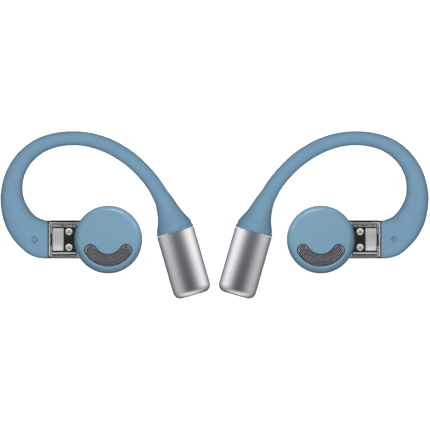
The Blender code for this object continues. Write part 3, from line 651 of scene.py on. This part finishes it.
def solder_mask():
    """Fibreglass board under black-green solder mask: glossy, with faint traces."""
    material = new_material("solder mask", {"IOR": 1.5})
    traces, tones = mottle(material, 0.8, stretch=(0.3, 1, 1), detail=1.0), tones_of("0B1514", "1B2E2B")
    return surface(material, traces, tones, gloss=(0.25, 0.4), stops=(0.46, 0.54))


# The dark and light tone, the grain in mm and the roughness of each plain metal part
METALS = {
    # Drawn spring wire: dull mid grey, with fine marks
    "spring steel": ("6E6E70", "8C8C90", 0.2, 0.3),
    # Drawn copper under clear enamel: warm red-brown with a soft shine
    "enamelled copper": ("8A4A26", "B4683A", 0.2, 0.3),
    # Zinc plate on pressed steel: cool pale grey and half matt
    "zinc plated steel": ("8E9092", "A9ABAD", 0.3, 0.32),
    # Nickel plate on a sintered magnet: paler and brighter than zinc
    "nickel plated magnet": ("A8A8A6", "C4C4C2", 0.25, 0.25),
    # Wound enamelled wire: red-brown, with a fine grain
    "coil copper": ("8A4A26", "B4683A", 0.15, 0.3),
    # Fine enamelled lead wire: as the coil
    "lead copper": ("8A4A26", "B4683A", 0.15, 0.3),
    # Deep-drawn can: cool grey, with broad soft marks
    "cell can steel": ("9A9DA1", "B4B7BB", 0.4, 0.3),
}


def metal(name):
    """A plain metal part whose gloss wanders a little."""
    dark, light, spacing_mm, roughness = METALS[name]
    material = new_material(name, {"Metallic": 1.0})
    grain, gloss = mottle(material, spacing_mm, detail=3.0), (roughness * 0.85, roughness * 1.15)
    return surface(material, grain, tones_of(dark, light), gloss)


def driver_film():
    """Formed polymer film: amber-grey and glossy, with soft patches where it was drawn."""
    material = new_material("diaphragm film", {"IOR": 1.6})
    return surface(material, mottle(material, 1.2), tones_of("A79F8C", "BDB5A2"), gloss=(0.15, 0.3))


def paper_floor(colour, glow):
    """Matt rolled paper on a lit table: even and pale, with a faint fibre grain and faint shadows."""
    values = {"IOR": 1.45, "Roughness": 0.9, "Emission Color": (1, 1, 1, 1), "Emission Strength": glow}
    material = new_material("background paper", values)
    return surface(material, mottle(material, 0.6, detail=3.0), shades(colour, 0.995, 1))


# Operators


def add_floor(settings):
    half, thickness, gap = 1.5, 0.002, 0.05 * MM
    mesh = block_mesh("floor", (-half, half), (-half, half), (-thickness - gap, -gap))
    mesh.materials.append(paper_floor(tuple(settings.floor_colour), settings.floor_glow))
    floor = bpy.data.objects.new("floor", mesh)
    bpy.context.scene.collection.objects.link(floor)
    floor.visible_diffuse = False  # so that the rims stay darker than the tops
    floor.visible_glossy = False


def add_lights(settings):
    """Panels overhead and low on four sides, one more for each bud, and two strips for each disc."""
    far, near = 0.9, 0.6  # metres from the buds to the diffusers, and to the strips
    key, strip = settings.key_power, settings.strip_power
    weak = 0.15 * key  # lifts the undersides, and each bud's inner side
    diffusers = [add_area("overhead diffuser", (90, 90), far, (0.8, 0.8), key)]
    for azimuth in range(0, 360, 90):
        diffusers.append(add_area(f"low fill {azimuth}", (azimuth, 3), far, (0.9, 0.1), weak))
    for side, sign in SIDES:
        bud, shells = bud_collection(side), shell_collection(side)
        diffusers.append(add_area(f"{side} diffuser", (40, 80), far, (0.2, 0.2), weak, sign, bud))
        add_area(f"{side} long strip", (75, 24), near, (0.28, 0.06), strip, sign, shells)
        add_area(f"{side} short strip", (30, 18), near, (0.05, 0.06), 0.3 * strip, sign, shells)
    for diffuser in diffusers:  # their light reaches the surfaces, and their shapes stay out of the metal
        diffuser.visible_glossy = False
        diffuser.visible_transmission = False


def add_area(name, direction, distance, size, power, sign=1, receivers=None):
    """A soft panel that faces the buds. Its (azimuth, elevation) runs from the right bud's inner side."""
    light = bpy.data.lights.new(name, "AREA")
    light.shape = "RECTANGLE"
    light.size, light.size_y = size
    light.energy = power
    turn, rise = (radians(angle) for angle in direction)
    flat = cos(rise)
    way = Vector((sign * cos(turn) * flat, sin(turn) * flat, sin(rise)))
    obj = bpy.data.objects.new(name, light)
    obj.location = way * distance
    obj.rotation_euler = way.to_track_quat("Z", "Y").to_euler()
    obj.visible_camera = False
    bpy.context.scene.collection.objects.link(obj)
    if receivers:
        obj.light_linking.receiver_collection = receivers
    return obj


# The tent's brightness from straight down to straight up, and its share from the front to the back
TENT_HEIGHT = ((-1, 0.02), (-0.6, 0.42), (-0.1, 1), (0.1, 1), (0.42, 0.92), (0.72, 0.48), (0.95, 0.15))
TENT_DEPTH = ((-1, 1.3), (-0.6, 0.6), (-0.3, 0.74), (0, 1.0), (0.3, 1.55), (1, 1.6))


def add_world(scene):
    """A studio tent that is bright near the horizon, brighter at the back, and dark overhead."""
    world = bpy.data.worlds.new("studio tent")
    world.use_nodes = True
    scene.world = world
    world.cycles_visibility.diffuse = False  # the panels light the matt surfaces
    background = world.node_tree.nodes["Background"]
    coords = add_node(world, "TexCoord")
    parts = add_node(world, "SeparateXYZ", inputs={"Vector": coords.outputs["Generated"]})
    height = brightness(world, parts.outputs["Z"], TENT_HEIGHT)
    depth = brightness(world, parts.outputs["Y"], TENT_DEPTH)
    world.node_tree.links.new(height, background.inputs["Color"])
    world.node_tree.links.new(depth, background.inputs["Strength"])


def brightness(world, value, levels):
    """A grey that follows the levels, given as (value from -1 to 1, brightness)."""
    spread = add_node(world, "MapRange", inputs={"Value": value, "From Min": -1})
    ramp = add_node(world, "ValToRGB", inputs={"Fac": spread.outputs["Result"]})
    stops = ramp.color_ramp.elements
    for i, (level, grey) in enumerate(levels):
        stop = stops[i] if i < 2 else stops.new(1)
        stop.position = (level + 1) / 2
        stop.color = (grey, grey, grey, 1)
    return ramp.outputs["Color"]


def add_camera(scene, settings):
    lens = bpy.data.cameras.new("camera")
    distance = settings.camera_height - AXIS_Z
    lens.lens = lens.sensor_width * distance / settings.view_width
    lens.clip_start, lens.clip_end = 0.01, 10
    camera = bpy.data.objects.new("camera", lens)
    aim_x, aim_y = 0.12 * MM, -0.05 * MM
    camera.location = (aim_x, aim_y, settings.camera_height)
    scene.collection.objects.link(camera)
    scene.camera = camera
    scene.view_settings.view_transform = "Standard"


class HEADPHONES_OT_stage(Operator):
    """Sets the floor, the studio light and the camera that looks straight down"""

    bl_idname = "headphones.stage"
    bl_label = "Stage"

    def execute(self, context):
        settings = context.scene.headphones.stage
        add_floor(settings)
        add_lights(settings)
        add_world(context.scene)
        add_camera(context.scene, settings)
        return {"FINISHED"}


def hook_mesh(settings):
    """One smooth skin from the housing to the barrel, with the microphone's dimple in its root."""
    path = hook_path(settings.rings)
    rings = rounded_root(path[0], settings.sides)
    rings += [soft_square(*section, settings.sides) for section in path[1:]]
    rings += rolled_lip(path[-1], settings)
    return carved(loft_mesh("ear_hook", rings), *dimple_cutters(settings))


def rounded_root(section, sides):
    """The hook's end at the housing, with a slightly rounded edge."""
    centre, along, half, share = section
    edge, steps = 0.12 * MM, 3
    rings = []
    for step in range(steps + 1):
        back = edge * (1 - sin(pi / 2 * step / steps))
        rings.append(soft_square(centre + along * (edge - back), along, half - back, share, sides))
    return rings


def rolled_lip(section, settings):
    """The rolled edge that grips the barrel's mouth, as a bead that is longer than it is high."""
    centre, along, _, share = section
    outer = BARREL_R - 0.02 * MM
    middle, thick, shallow = (settings.lip * part for part in (0.85, 0.75, 0.3))
    rings = []
    for turn in (radians(angle) for angle in range(-75, 91, 15)):
        onward = centre + along * (middle + thick * sin(turn))
        half = outer - shallow * (1 - cos(turn))
        rings.append(soft_square(onward, along, half, share, settings.sides))
    return rings


def dimple_cutters(settings):
    """A shallow bowl for the microphone, and the fine port in its middle."""
    low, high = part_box("right_microphone")
    centre = (low + high) / 2
    skin_z = AXIS_Z + 4.6 * MM
    r, d = settings.dimple_radius, settings.dimple_depth
    profile = [(0, d), (1.04 * r, d), (r, 0), (0.93 * r, -0.85 * d), (0.8 * r, -d), (0, -d)]
    bowl = turned_mesh("bowl", profile, 40, (centre.x, centre.y, skin_z))
    port_radius, port_depth = 0.18 * MM, 1.2 * MM
    return bowl, post_mesh("port", [centre], (skin_z - port_depth, skin_z + PAST), port_radius, 16)


def add_wire(name, rise, radius, material, slot, settings):
    """A round wire or lead inside the hook, which stops short of both its ends."""
    first, after, sides = 16, -6, 12
    offset = Vector((0, 0, rise))
    path = hook_path(settings.rings)[first:after]
    rings = [soft_square(centre + offset, along, radius, 1.0, sides) for centre, along, _, _ in path]
    wire = loft_mesh(name, rings)
    halves = (f"{name}_front", f"{name}_rear")
    add_pieces(name, wire, material, slot, *halves, crease=40, bend_length=settings.bend_length)


class HEADPHONES_OT_ear_hooks(Operator):
    """Builds the silicone ear hooks, with the sprung wires and leads that run inside them"""

    bl_idname = "headphones.ear_hooks"
    bl_label = "Ear hooks"

    def execute(self, context):
        settings = context.scene.headphones.hook
        bend, halves = settings.bend_length, ("hook_front", "hook_rear")
        silicone, hook = moulded_silicone(tuple(settings.colour)), hook_mesh(settings)
        add_pieces("ear_hook", hook, silicone, "silicone_blue", *halves, crease=40, bend_length=bend)
        add_wire("memory_wire", -0.47 * MM, 0.35 * MM, metal("spring steel"), "spring_wire", settings)
        add_wire("battery_lead", 0.47 * MM, 0.3 * MM, metal("enamelled copper"), "copper_wire", settings)
        return {"FINISHED"}


def barrel_mesh(settings):
    """A deep-drawn cup, with a small round on its mouth and a larger one round its flat end."""
    fillet, wall = settings.edge_radius, settings.wall
    length = (BARREL_HIGH.y - BARREL_LOW.y - 2 * BARREL_R * sin(BARREL_LEAN)) / cos(BARREL_LEAN)
    length += fillet_shortfall(fillet)
    inner_r, inner_fillet = BARREL_R - wall, fillet - wall
    mouth, lip = 0.16 * MM, 0.04 * MM
    profile = [(0, -length + wall)]
    profile += arc((inner_r - inner_fillet, -length + wall + inner_fillet), inner_fillet, -90, 0, 6)
    profile += [(inner_r, mouth)]
    profile += arc((BARREL_R - lip, mouth - lip), lip, 90, 0, 4)
    profile += arc((BARREL_R - fillet, -length + fillet), fillet, 0, -90, 12)
    profile += [(0, -length)]
    turn = (-BARREL_AXIS).to_track_quat("Z", "Y").to_matrix().to_4x4()
    return turned_mesh("barrel", profile, 96, BARREL_MOUTH, turn)


def fillet_shortfall(fillet):
    """How far a rounded end stays short of a sharp one, along the barrel."""
    lean = BARREL_LEAN
    sharp = BARREL_R * sin(lean)
    rounded = (BARREL_R - fillet) * sin(lean) + fillet * (1 - cos(lean))
    return (sharp - rounded) / cos(lean)


class HEADPHONES_OT_barrels(Operator):
    """Builds the satin aluminium barrels"""

    bl_idname = "headphones.barrels"
    bl_label = "Barrels"

    def execute(self, context):
        settings = context.scene.headphones.barrel
        aluminium = anodised_aluminium(tuple(settings.colour))
        shell = barrel_mesh(settings)
        add_pieces("aluminium_barrel", shell, aluminium, "barrel_metal", "barrel_shell", body="rear")
        return {"FINISHED"}


TALL_END = -32.4 * MM  # where the disc hides the housing's sides


def across(low, high):
    """A span in mm across the housing, from its middle."""
    return (HOUSING_Y + low * MM, HOUSING_Y + high * MM)


def square_hole(half_mm, x):
    """A cutter along the housing's axis."""
    half = half_mm * MM
    return block_mesh("hole", x, across(-half_mm, half_mm), (AXIS_Z - half, AXIS_Z + half))


def beyond_disc(gap, low=BASE_LOW.z):
    """A cutter for what must stay this far from the disc."""
    return post_mesh("beyond_disc", [DISC], (low - gap, HOUSING_HIGH.z + PAST), DISC_R + gap, 128)


def sleeve_mesh(settings):
    """A clear sleeve with crisp edges, open at the hook, and notched for the disc."""
    wall = settings.wall
    room = HOUSING_HALF - wall
    x0 = SEAL_HIGH.x - 0.12 * MM
    x, y, z = spans(HOUSING_LOW, HOUSING_HIGH)
    outer = block_mesh("clear_block", (x0 - PAST, x[1]), y, z, settings.edge_radius, 5)
    _, past_y, past_z = spans(HOUSING_LOW, HOUSING_HIGH, PAST)
    end = block_mesh("end", (x0 - 3 * PAST, x0), past_y, past_z)
    inner_y = (HOUSING_Y - room, HOUSING_Y + room)
    tall = block_mesh("tall_room", (x0 - PAST, TALL_END), inner_y, (z[0] + wall, z[1] - wall))
    disc_gap, slab = 0.25 * MM, 0.6 * MM  # between the room and the disc, beside it and under it
    tall = carved(tall, beyond_disc(disc_gap, BASE_LOW.z - slab))
    tail_top = BASE_LOW.z - 0.2 * MM
    low_x = (TALL_END - PAST, x[1] - wall)
    low = block_mesh("low_room", low_x, inner_y, (z[0] + wall, tail_top - wall))
    cutters = [end, tall, low, beyond_disc(0.1 * MM), *key_cutters(room)]
    for contact in CONTACTS:
        low_corner, high_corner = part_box(f"right_{contact}")
        reach = (high_corner.x - low_corner.x) / 2 + 0.06 * MM
        hole_z = (z[1] - 2 * PAST, z[1] + PAST)
        cutters.append(post_mesh("hole", [(low_corner + high_corner) / 2], hole_z, reach, 32))
    return carved(outer, *cutters)


def key_cutters(room):
    """The slot that the key and its bezel lie in, open to the top, and the way for the key's stem."""
    before, behind, floor = 0.23 * MM, 0.47 * MM, 0.67 * MM
    slot = block_mesh(
        "key_slot",
        (KEY_LOW.x - before, TALL_END + 0.1 * MM),
        (KEY_HIGH.y - behind, HOUSING_HIGH.y + PAST),
        (HOUSING_LOW.z + floor, HOUSING_HIGH.z + PAST),
    )
    x, _, z = spans(KEY_LOW, KEY_HIGH, -0.2 * MM)
    return slot, block_mesh("stem_way", x, (HOUSING_Y + room - PAST, HOUSING_HIGH.y), z)


def add_seal():
    """The dark ring that shows as a line between the housing and the hook."""
    x, y, z = spans(SEAL_LOW, SEAL_HIGH)
    ring = block_mesh("seal", (x[0] + 0.02 * MM, x[1] - 0.14 * MM), y, z, 0.05 * MM)
    window = square_hole(1.9, (x[0] - PAST, x[1] + PAST))
    add_pieces("seal_ring", carved(ring, window), seal_rubber(), "seal_rubber", "housing_seal")


def add_chassis():
    """A black tray that carries the board and the rails, with a tongue into the hook."""
    low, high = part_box("right_chassis")
    left, past_low = -39.95 * MM, low.z - PAST
    tray = block_mesh("tray", (left, TALL_END), across(-3.83, 4.17), (low.z, high.z), 0.06 * MM)
    tray = carved(tray, beyond_disc(RAIL_GAP, past_low))
    under_x, under_z = (-36 * MM, high.x), (low.z, 5.9 * MM)
    under = block_mesh("under", under_x, across(-3.5, 3.5), under_z, 0.1 * MM)
    half = 1.5 * MM
    tongue_z = (AXIS_Z - half, AXIS_Z + half)
    tongue = block_mesh("tongue", (low.x, left + MM), across(-1.5, 1.5), tongue_z, 0.1 * MM)
    x, y, z = spans(*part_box("right_main_board"), FIT)
    bay = block_mesh("bay", x, y, (past_low, z[1]))
    window = block_mesh("window", (left - PAST, -34 * MM), across(-1.2, 1.2), (3.9 * MM, 5.4 * MM))
    x, y, z = spans(KEY_LOW, KEY_HIGH, FIT)
    key_bay = block_mesh("key_bay", x, (KEY_LOW.y - 0.45 * MM, HOUSING_HIGH.y), z)
    frame_mesh = carved(carved(tray, under, tongue, operation="UNION"), bay, window, key_bay)
    add_pieces("chassis_frame", frame_mesh, glass_filled_nylon(), "black_plastic", "chassis")


def add_rails():
    """The gasket and rail on the chassis, and the thin ones beside it, all clear of the disc."""
    low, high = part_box("right_chassis")
    shield = plated_steel(linear("E2E2E2"))
    # Name, left end, inner and outer edge and rise above the chassis in mm, foot, material, slot
    rails = (
        ("foam_gasket", -39.85, 3.05, 3.74, 0.35, high.z, grey_foam(), "black_plastic"),
        ("pale_rail", -40.3, 3.94, 4.16, 0.6, low.z, shield, "black_plastic"),
        ("shield_rail", -39.8, -3.52, -3.17, 0.35, high.z, shield, "driver_steel"),
        # The grey film of this strip is painted shade of the clear wall beside it.
        ("edge_gasket", -39.9, -4.16, -3.86, 0.3, low.z, wall_shade_film(), "black_plastic"),
    )
    for name, left, inner, outer, rise, foot, material, slot in rails:
        x, z = (left * MM, TALL_END), (foot, high.z + rise * MM)
        rail = block_mesh(name, x, across(inner, outer), z, 0.05 * MM)
        add_pieces(name, carved(rail, beyond_disc(RAIL_GAP, low.z - PAST)), material, slot)


def add_bracket():
    """The pale bracket that ties the sleeve's open end to the hook."""
    x = (SEAL_HIGH.x - 0.05 * MM, SEAL_HIGH.x + 0.32 * MM)
    z = (HOUSING_LOW.z + 0.6 * MM, HOUSING_HIGH.z - 0.7 * MM)
    bar = block_mesh("bar", x, across(-4.1, 3.9), z, 0.05 * MM)
    way = square_hole(1.8, (x[0] - PAST, x[1] + PAST))
    add_pieces("end_bracket", carved(bar, way), pale_abs(), "black_plastic")


def add_plate(settings):
    """A pressed steel plate: dished along its length, inside a rolled rim."""
    low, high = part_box("right_dock_magnet")
    rim, sag, proud = 0.24 * MM, 0.5 * MM, 0.1 * MM
    x = (low.x - proud, high.x)
    plate = block_mesh("plate", x, (low.y, high.y), (low.z, high.z + proud), 0.09 * MM, 4)
    half = (high.y - low.y) / 2 - rim
    radius = (half * half + sag * sag) / (2 * sag)
    swing = degrees(asin(half / radius))
    profile = arc((HOUSING_Y, high.z + radius - sag), radius, -90 - swing, -90 + swing, 24)
    profile += [(HOUSING_Y + half, high.z + PAST), (HOUSING_Y - half, high.z + PAST)]
    ends = (x[0] + rim, x[1] - rim)
    dish = loft_mesh("dish", [[Vector((end, y, z)) for y, z in profile] for end in ends])
    steel = plated_steel(tuple(settings.plate_colour))
    add_pieces("docking_plate", carved(plate, dish), steel, "magnet_plating", "dock_magnet")


def add_contacts():
    """Domed pads, each on a stem that goes down to its lead."""
    material = plated_contact()
    stem, dome, edge = 0.5 * MM, 1.05 * MM, 0.12 * MM
    drop, foot = 0.42 * MM, 0.75 * MM  # from the top to the rounded edge, and to the underside
    for contact in CONTACTS:
        low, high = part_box(f"right_{contact}")
        centre = (low + high) / 2
        r = (high.x - low.x) / 2
        top = high.z
        profile = [(0, top), *arc((0, top - dome), dome, 84, 50, 8)]
        profile += arc((r - edge, top - drop), edge, 80, 0, 4)
        profile += [(r, top - foot), (stem, top - foot), (stem, low.z), (0, low.z)]
        mesh = turned_mesh(contact, profile, 40, (centre.x, centre.y, 0))
        add_pieces(f"{contact}_pad", mesh, material, "contact_metal", contact)


def add_key():
    """The thin strip that shows along the housing's edge, its stem, and the bezel round it."""
    face, edge, black = KEY_HIGH.y, 0.08 * MM, black_abs()
    x, _, z = spans(KEY_LOW, KEY_HIGH, -0.3 * MM)
    strip = block_mesh("strip", x, (face - 0.42 * MM, face), z, edge)
    inset, half = 1.6 * MM, 0.6 * MM
    stem_x, stem_y = (KEY_LOW.x + inset, KEY_HIGH.x - inset), (KEY_LOW.y, face - 0.3 * MM)
    stem = block_mesh("stem", stem_x, stem_y, (AXIS_Z - half, AXIS_Z + half), edge)
    key = carved(strip, stem, operation="UNION")
    add_pieces("pinch_strip", key, black, "black_plastic", "pinch_key", body="key")
    bezel = block_mesh(
        "bezel",
        (KEY_LOW.x - 0.2 * MM, TALL_END),
        (face - 0.44 * MM, face + 0.015 * MM),
        (HOUSING_LOW.z + 0.7 * MM, HOUSING_HIGH.z - 0.12 * MM),
        0.05 * MM,
    )
    x, _, z = spans(KEY_LOW, KEY_HIGH, -0.2 * MM)
    window = block_mesh("window", x, (face - PAST, face + PAST), z)
    bezel = carved(bezel, window, beyond_disc(0.15 * MM))
    add_pieces("key_bezel", bezel, black, "black_plastic")


class HEADPHONES_OT_clear_housings(Operator):
    """Builds the clear housings and what shows inside them"""

    bl_idname = "headphones.clear_housings"
    bl_label = "Clear housings"

    def execute(self, context):
        settings = context.scene.headphones.housing
        clear, block = clear_polycarbonate(tuple(settings.colour)), sleeve_mesh(settings)
        for piece in add_pieces("clear_block", block, clear, "clear_plastic", "clear_housing"):
            piece.visible_shadow = False  # the diffusers reach the parts inside
        add_seal()
        add_chassis()
        add_rails()
        add_bracket()
        add_plate(settings)
        add_contacts()
        add_key()
        return {"FINISHED"}


DISC_WALL = 0.8 * MM


def face_mesh(settings):
    """The cap: slightly crowned, with an oval edge, hollow below, and cut by the sound slot."""
    top, edge, crown, drop = CAP_HIGH.z, settings.edge_width, settings.crown, settings.edge_drop
    rim_top, face_r, steps = top - crown, DISC_R - edge, 12
    profile = [(face_r * i / steps, top - crown * (i / steps) ** 2) for i in range(steps)]
    profile += [(face_r + x * edge, rim_top - drop + z * drop) for x, z in arc((0, 0), 1, 90, 0, 16)]
    inner_r, ceiling, chamfer = DISC_R - DISC_WALL, top - 0.9 * MM, 0.7 * MM
    profile += [(DISC_R, CAP_LOW.z), (inner_r, CAP_LOW.z), (inner_r, ceiling - chamfer)]
    profile += [(inner_r - chamfer, ceiling), (0, ceiling)]
    cap = turned_mesh("disc_face", profile, 128, DISC)
    flare, steps = settings.slot_flare, 6
    depth = 0.62 * flare
    levels = [(0, ceiling - PAST)]
    for step in range(steps + 1):
        angle = pi / 2 * step / steps
        levels.append((flare * (1 - cos(angle)), rim_top - depth + depth * sin(angle)))
    levels.append((flare, top + PAST))
    return carved(cap, slot_loft("slot", settings, levels))


def back_mesh():
    """The base: a cup with a rounded foot, which meets the cap in a fine groove."""
    fillet, chamfer, groove, edge = 1.1 * MM, 0.5 * MM, 0.06 * MM, 0.05 * MM
    inner_r, floor, rim = DISC_R - DISC_WALL, BASE_LOW.z + DISC_WALL, CAP_LOW.z - groove
    profile = [(0, floor), (inner_r - chamfer, floor), (inner_r, floor + chamfer)]
    profile += [(inner_r, rim), (DISC_R - edge, rim), (DISC_R, rim - edge)]
    profile += arc((DISC_R - fillet, BASE_LOW.z + fillet), fillet, 0, -90, 8)
    profile += [(0, BASE_LOW.z)]
    return turned_mesh("disc_back", profile, 128, DISC)


class HEADPHONES_OT_speaker_discs(Operator):
    """Builds the two shells of each speaker disc, with the sound slot"""

    bl_idname = "headphones.speaker_discs"
    bl_label = "Speaker discs"

    def execute(self, context):
        settings = context.scene.headphones.disc
        shell = satin_shell(tuple(settings.colour))
        face, back = face_mesh(settings), back_mesh()
        faces = add_pieces("disc_face", face, shell, "shell_blue", "speaker_cap", crease=28)
        backs = add_pieces("disc_back", back, shell, "shell_blue", "speaker_base")
        for (side, _), *pieces in zip(SIDES, faces, backs):
            for piece in pieces:
                shell_collection(side).objects.link(piece)
        return {"FINISHED"}


def grille_mesh(settings):
    """A thin etched sheet on the slot's outline, arched a little across its width."""
    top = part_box("right_speaker_grille")[1].z
    inset, thickness, edge, arch = 0.2 * MM, 0.3 * MM, 0.04 * MM, 0.25 * MM
    levels = [(-inset, top - thickness), (-inset, top - edge), (-inset - edge, top)]
    places, through = hole_places(settings), (top - PAST, top + PAST)
    holes = post_mesh("holes", places, through, settings.hole_radius, 10)
    mesh = carved(slot_loft("sheet", settings, levels), holes)
    for vertex in mesh.vertices:
        off = (vertex.co - DISC).xy.length - settings.slot_radius
        vertex.co.z -= arch * (off / settings.slot_half_width) ** 2
    return mesh


def hole_places(settings):
    """Staggered rows that follow the slot, kept clear of its edge."""
    places = []
    middle, sweep, rows = settings.slot_radius, settings.slot_sweep, settings.hole_rows
    land = 0.24 * MM  # between the holes and the slot's edge
    margin = settings.slot_half_width - land - settings.hole_radius
    down = -pi / 2
    ends = [Vector((cos(a), sin(a))) * middle for a in (down - sweep, down + sweep)]
    past_sweep = 0.35  # radians into the slot's round ends
    for row in range(rows):
        radius = middle + (row - (rows - 1) / 2) * settings.hole_pitch
        step = settings.hole_pitch / radius
        count = int((sweep + past_sweep) / step)
        shift = 0.5 * (row % 2)
        for i in range(-count, count + 1):
            turn = (i + shift) * step
            point = Vector((sin(turn), -cos(turn))) * radius
            off = abs(radius - middle)
            if abs(turn) > sweep:
                off = min((point - end).length for end in ends)
            if off <= margin:
                places.append(DISC + point.to_3d())
    return places


class HEADPHONES_OT_grilles(Operator):
    """Builds the perforated grilles in the sound slots"""

    bl_idname = "headphones.grilles"
    bl_label = "Grilles"

    def execute(self, context):
        settings = context.scene.headphones.disc
        sheet, steel = grille_mesh(settings), perforated_steel()
        grilles = add_pieces("perforated_grille", sheet, steel, "grille_metal", "speaker_grille", crease=50)
        for (side, _), grille in zip(SIDES, grilles):
            shell_collection(side).objects.link(grille)
        dress("acoustic_cloth", acoustic_weave())
        return {"FINISHED"}


class HEADPHONES_OT_inner_parts(Operator):
    """Gives the parts inside the buds their finished materials"""

    bl_idname = "headphones.inner_parts"
    bl_label = "Inner parts"

    def execute(self, context):
        steel = metal("zinc plated steel")
        finishes = {
            "main_board": solder_mask(),
            "key_switch": steel,
            "microphone": steel,
            "driver_basket": black_abs(),
            "driver_yoke": steel,
            "driver_top_plate": steel,
            "driver_magnet": metal("nickel plated magnet"),
            "voice_coil": metal("coil copper"),
            "speaker_lead": metal("lead copper"),
            "diaphragm": driver_film(),
            "barrel_plug": glass_filled_nylon(),
            "battery_cell": metal("cell can steel"),
        }
        for node, material in finishes.items():
            dress(node, material)
        keep_out_of_reflections()
        return {"FINISHED"}


OPERATORS = (
    HEADPHONES_OT_stage,
    HEADPHONES_OT_ear_hooks,
    HEADPHONES_OT_barrels,
    HEADPHONES_OT_clear_housings,
    HEADPHONES_OT_speaker_discs,
    HEADPHONES_OT_grilles,
    HEADPHONES_OT_inner_parts,
)


class HEADPHONES_PT_panel(Panel):
    """Lists the operators, and the settings of each group of pieces"""

    bl_label = "Open-ear Headphones"
    bl_idname = "HEADPHONES_PT_panel"
    bl_space_type = "VIEW_3D"
    bl_region_type = "UI"
    bl_category = "Headphones"

    def draw(self, context):
        for operator in OPERATORS:
            self.layout.operator(operator.bl_idname)
        for group in ("hook", "disc", "housing", "barrel", "stage"):
            box = self.layout.box()
            box.label(text=group.capitalize())
            settings = getattr(context.scene.headphones, group)
            for name in settings.__annotations__:
                box.prop(settings, name)


GROUPS = (HookSettings, DiscSettings, HousingSettings, BarrelSettings, StageSettings, HeadphoneSettings)


def register():
    for cls in (*GROUPS, *OPERATORS, HEADPHONES_PT_panel):
        bpy.utils.register_class(cls)
    bpy.types.Scene.headphones = PointerProperty(type=HeadphoneSettings)


def unregister():
    del bpy.types.Scene.headphones
    for cls in reversed((*GROUPS, *OPERATORS, HEADPHONES_PT_panel)):
        bpy.utils.unregister_class(cls)


def main():
    register()
    for operator in OPERATORS:
        group, name = operator.bl_idname.split(".")
        getattr(getattr(bpy.ops, group), name)()


if __name__ == "__main__":
    main()
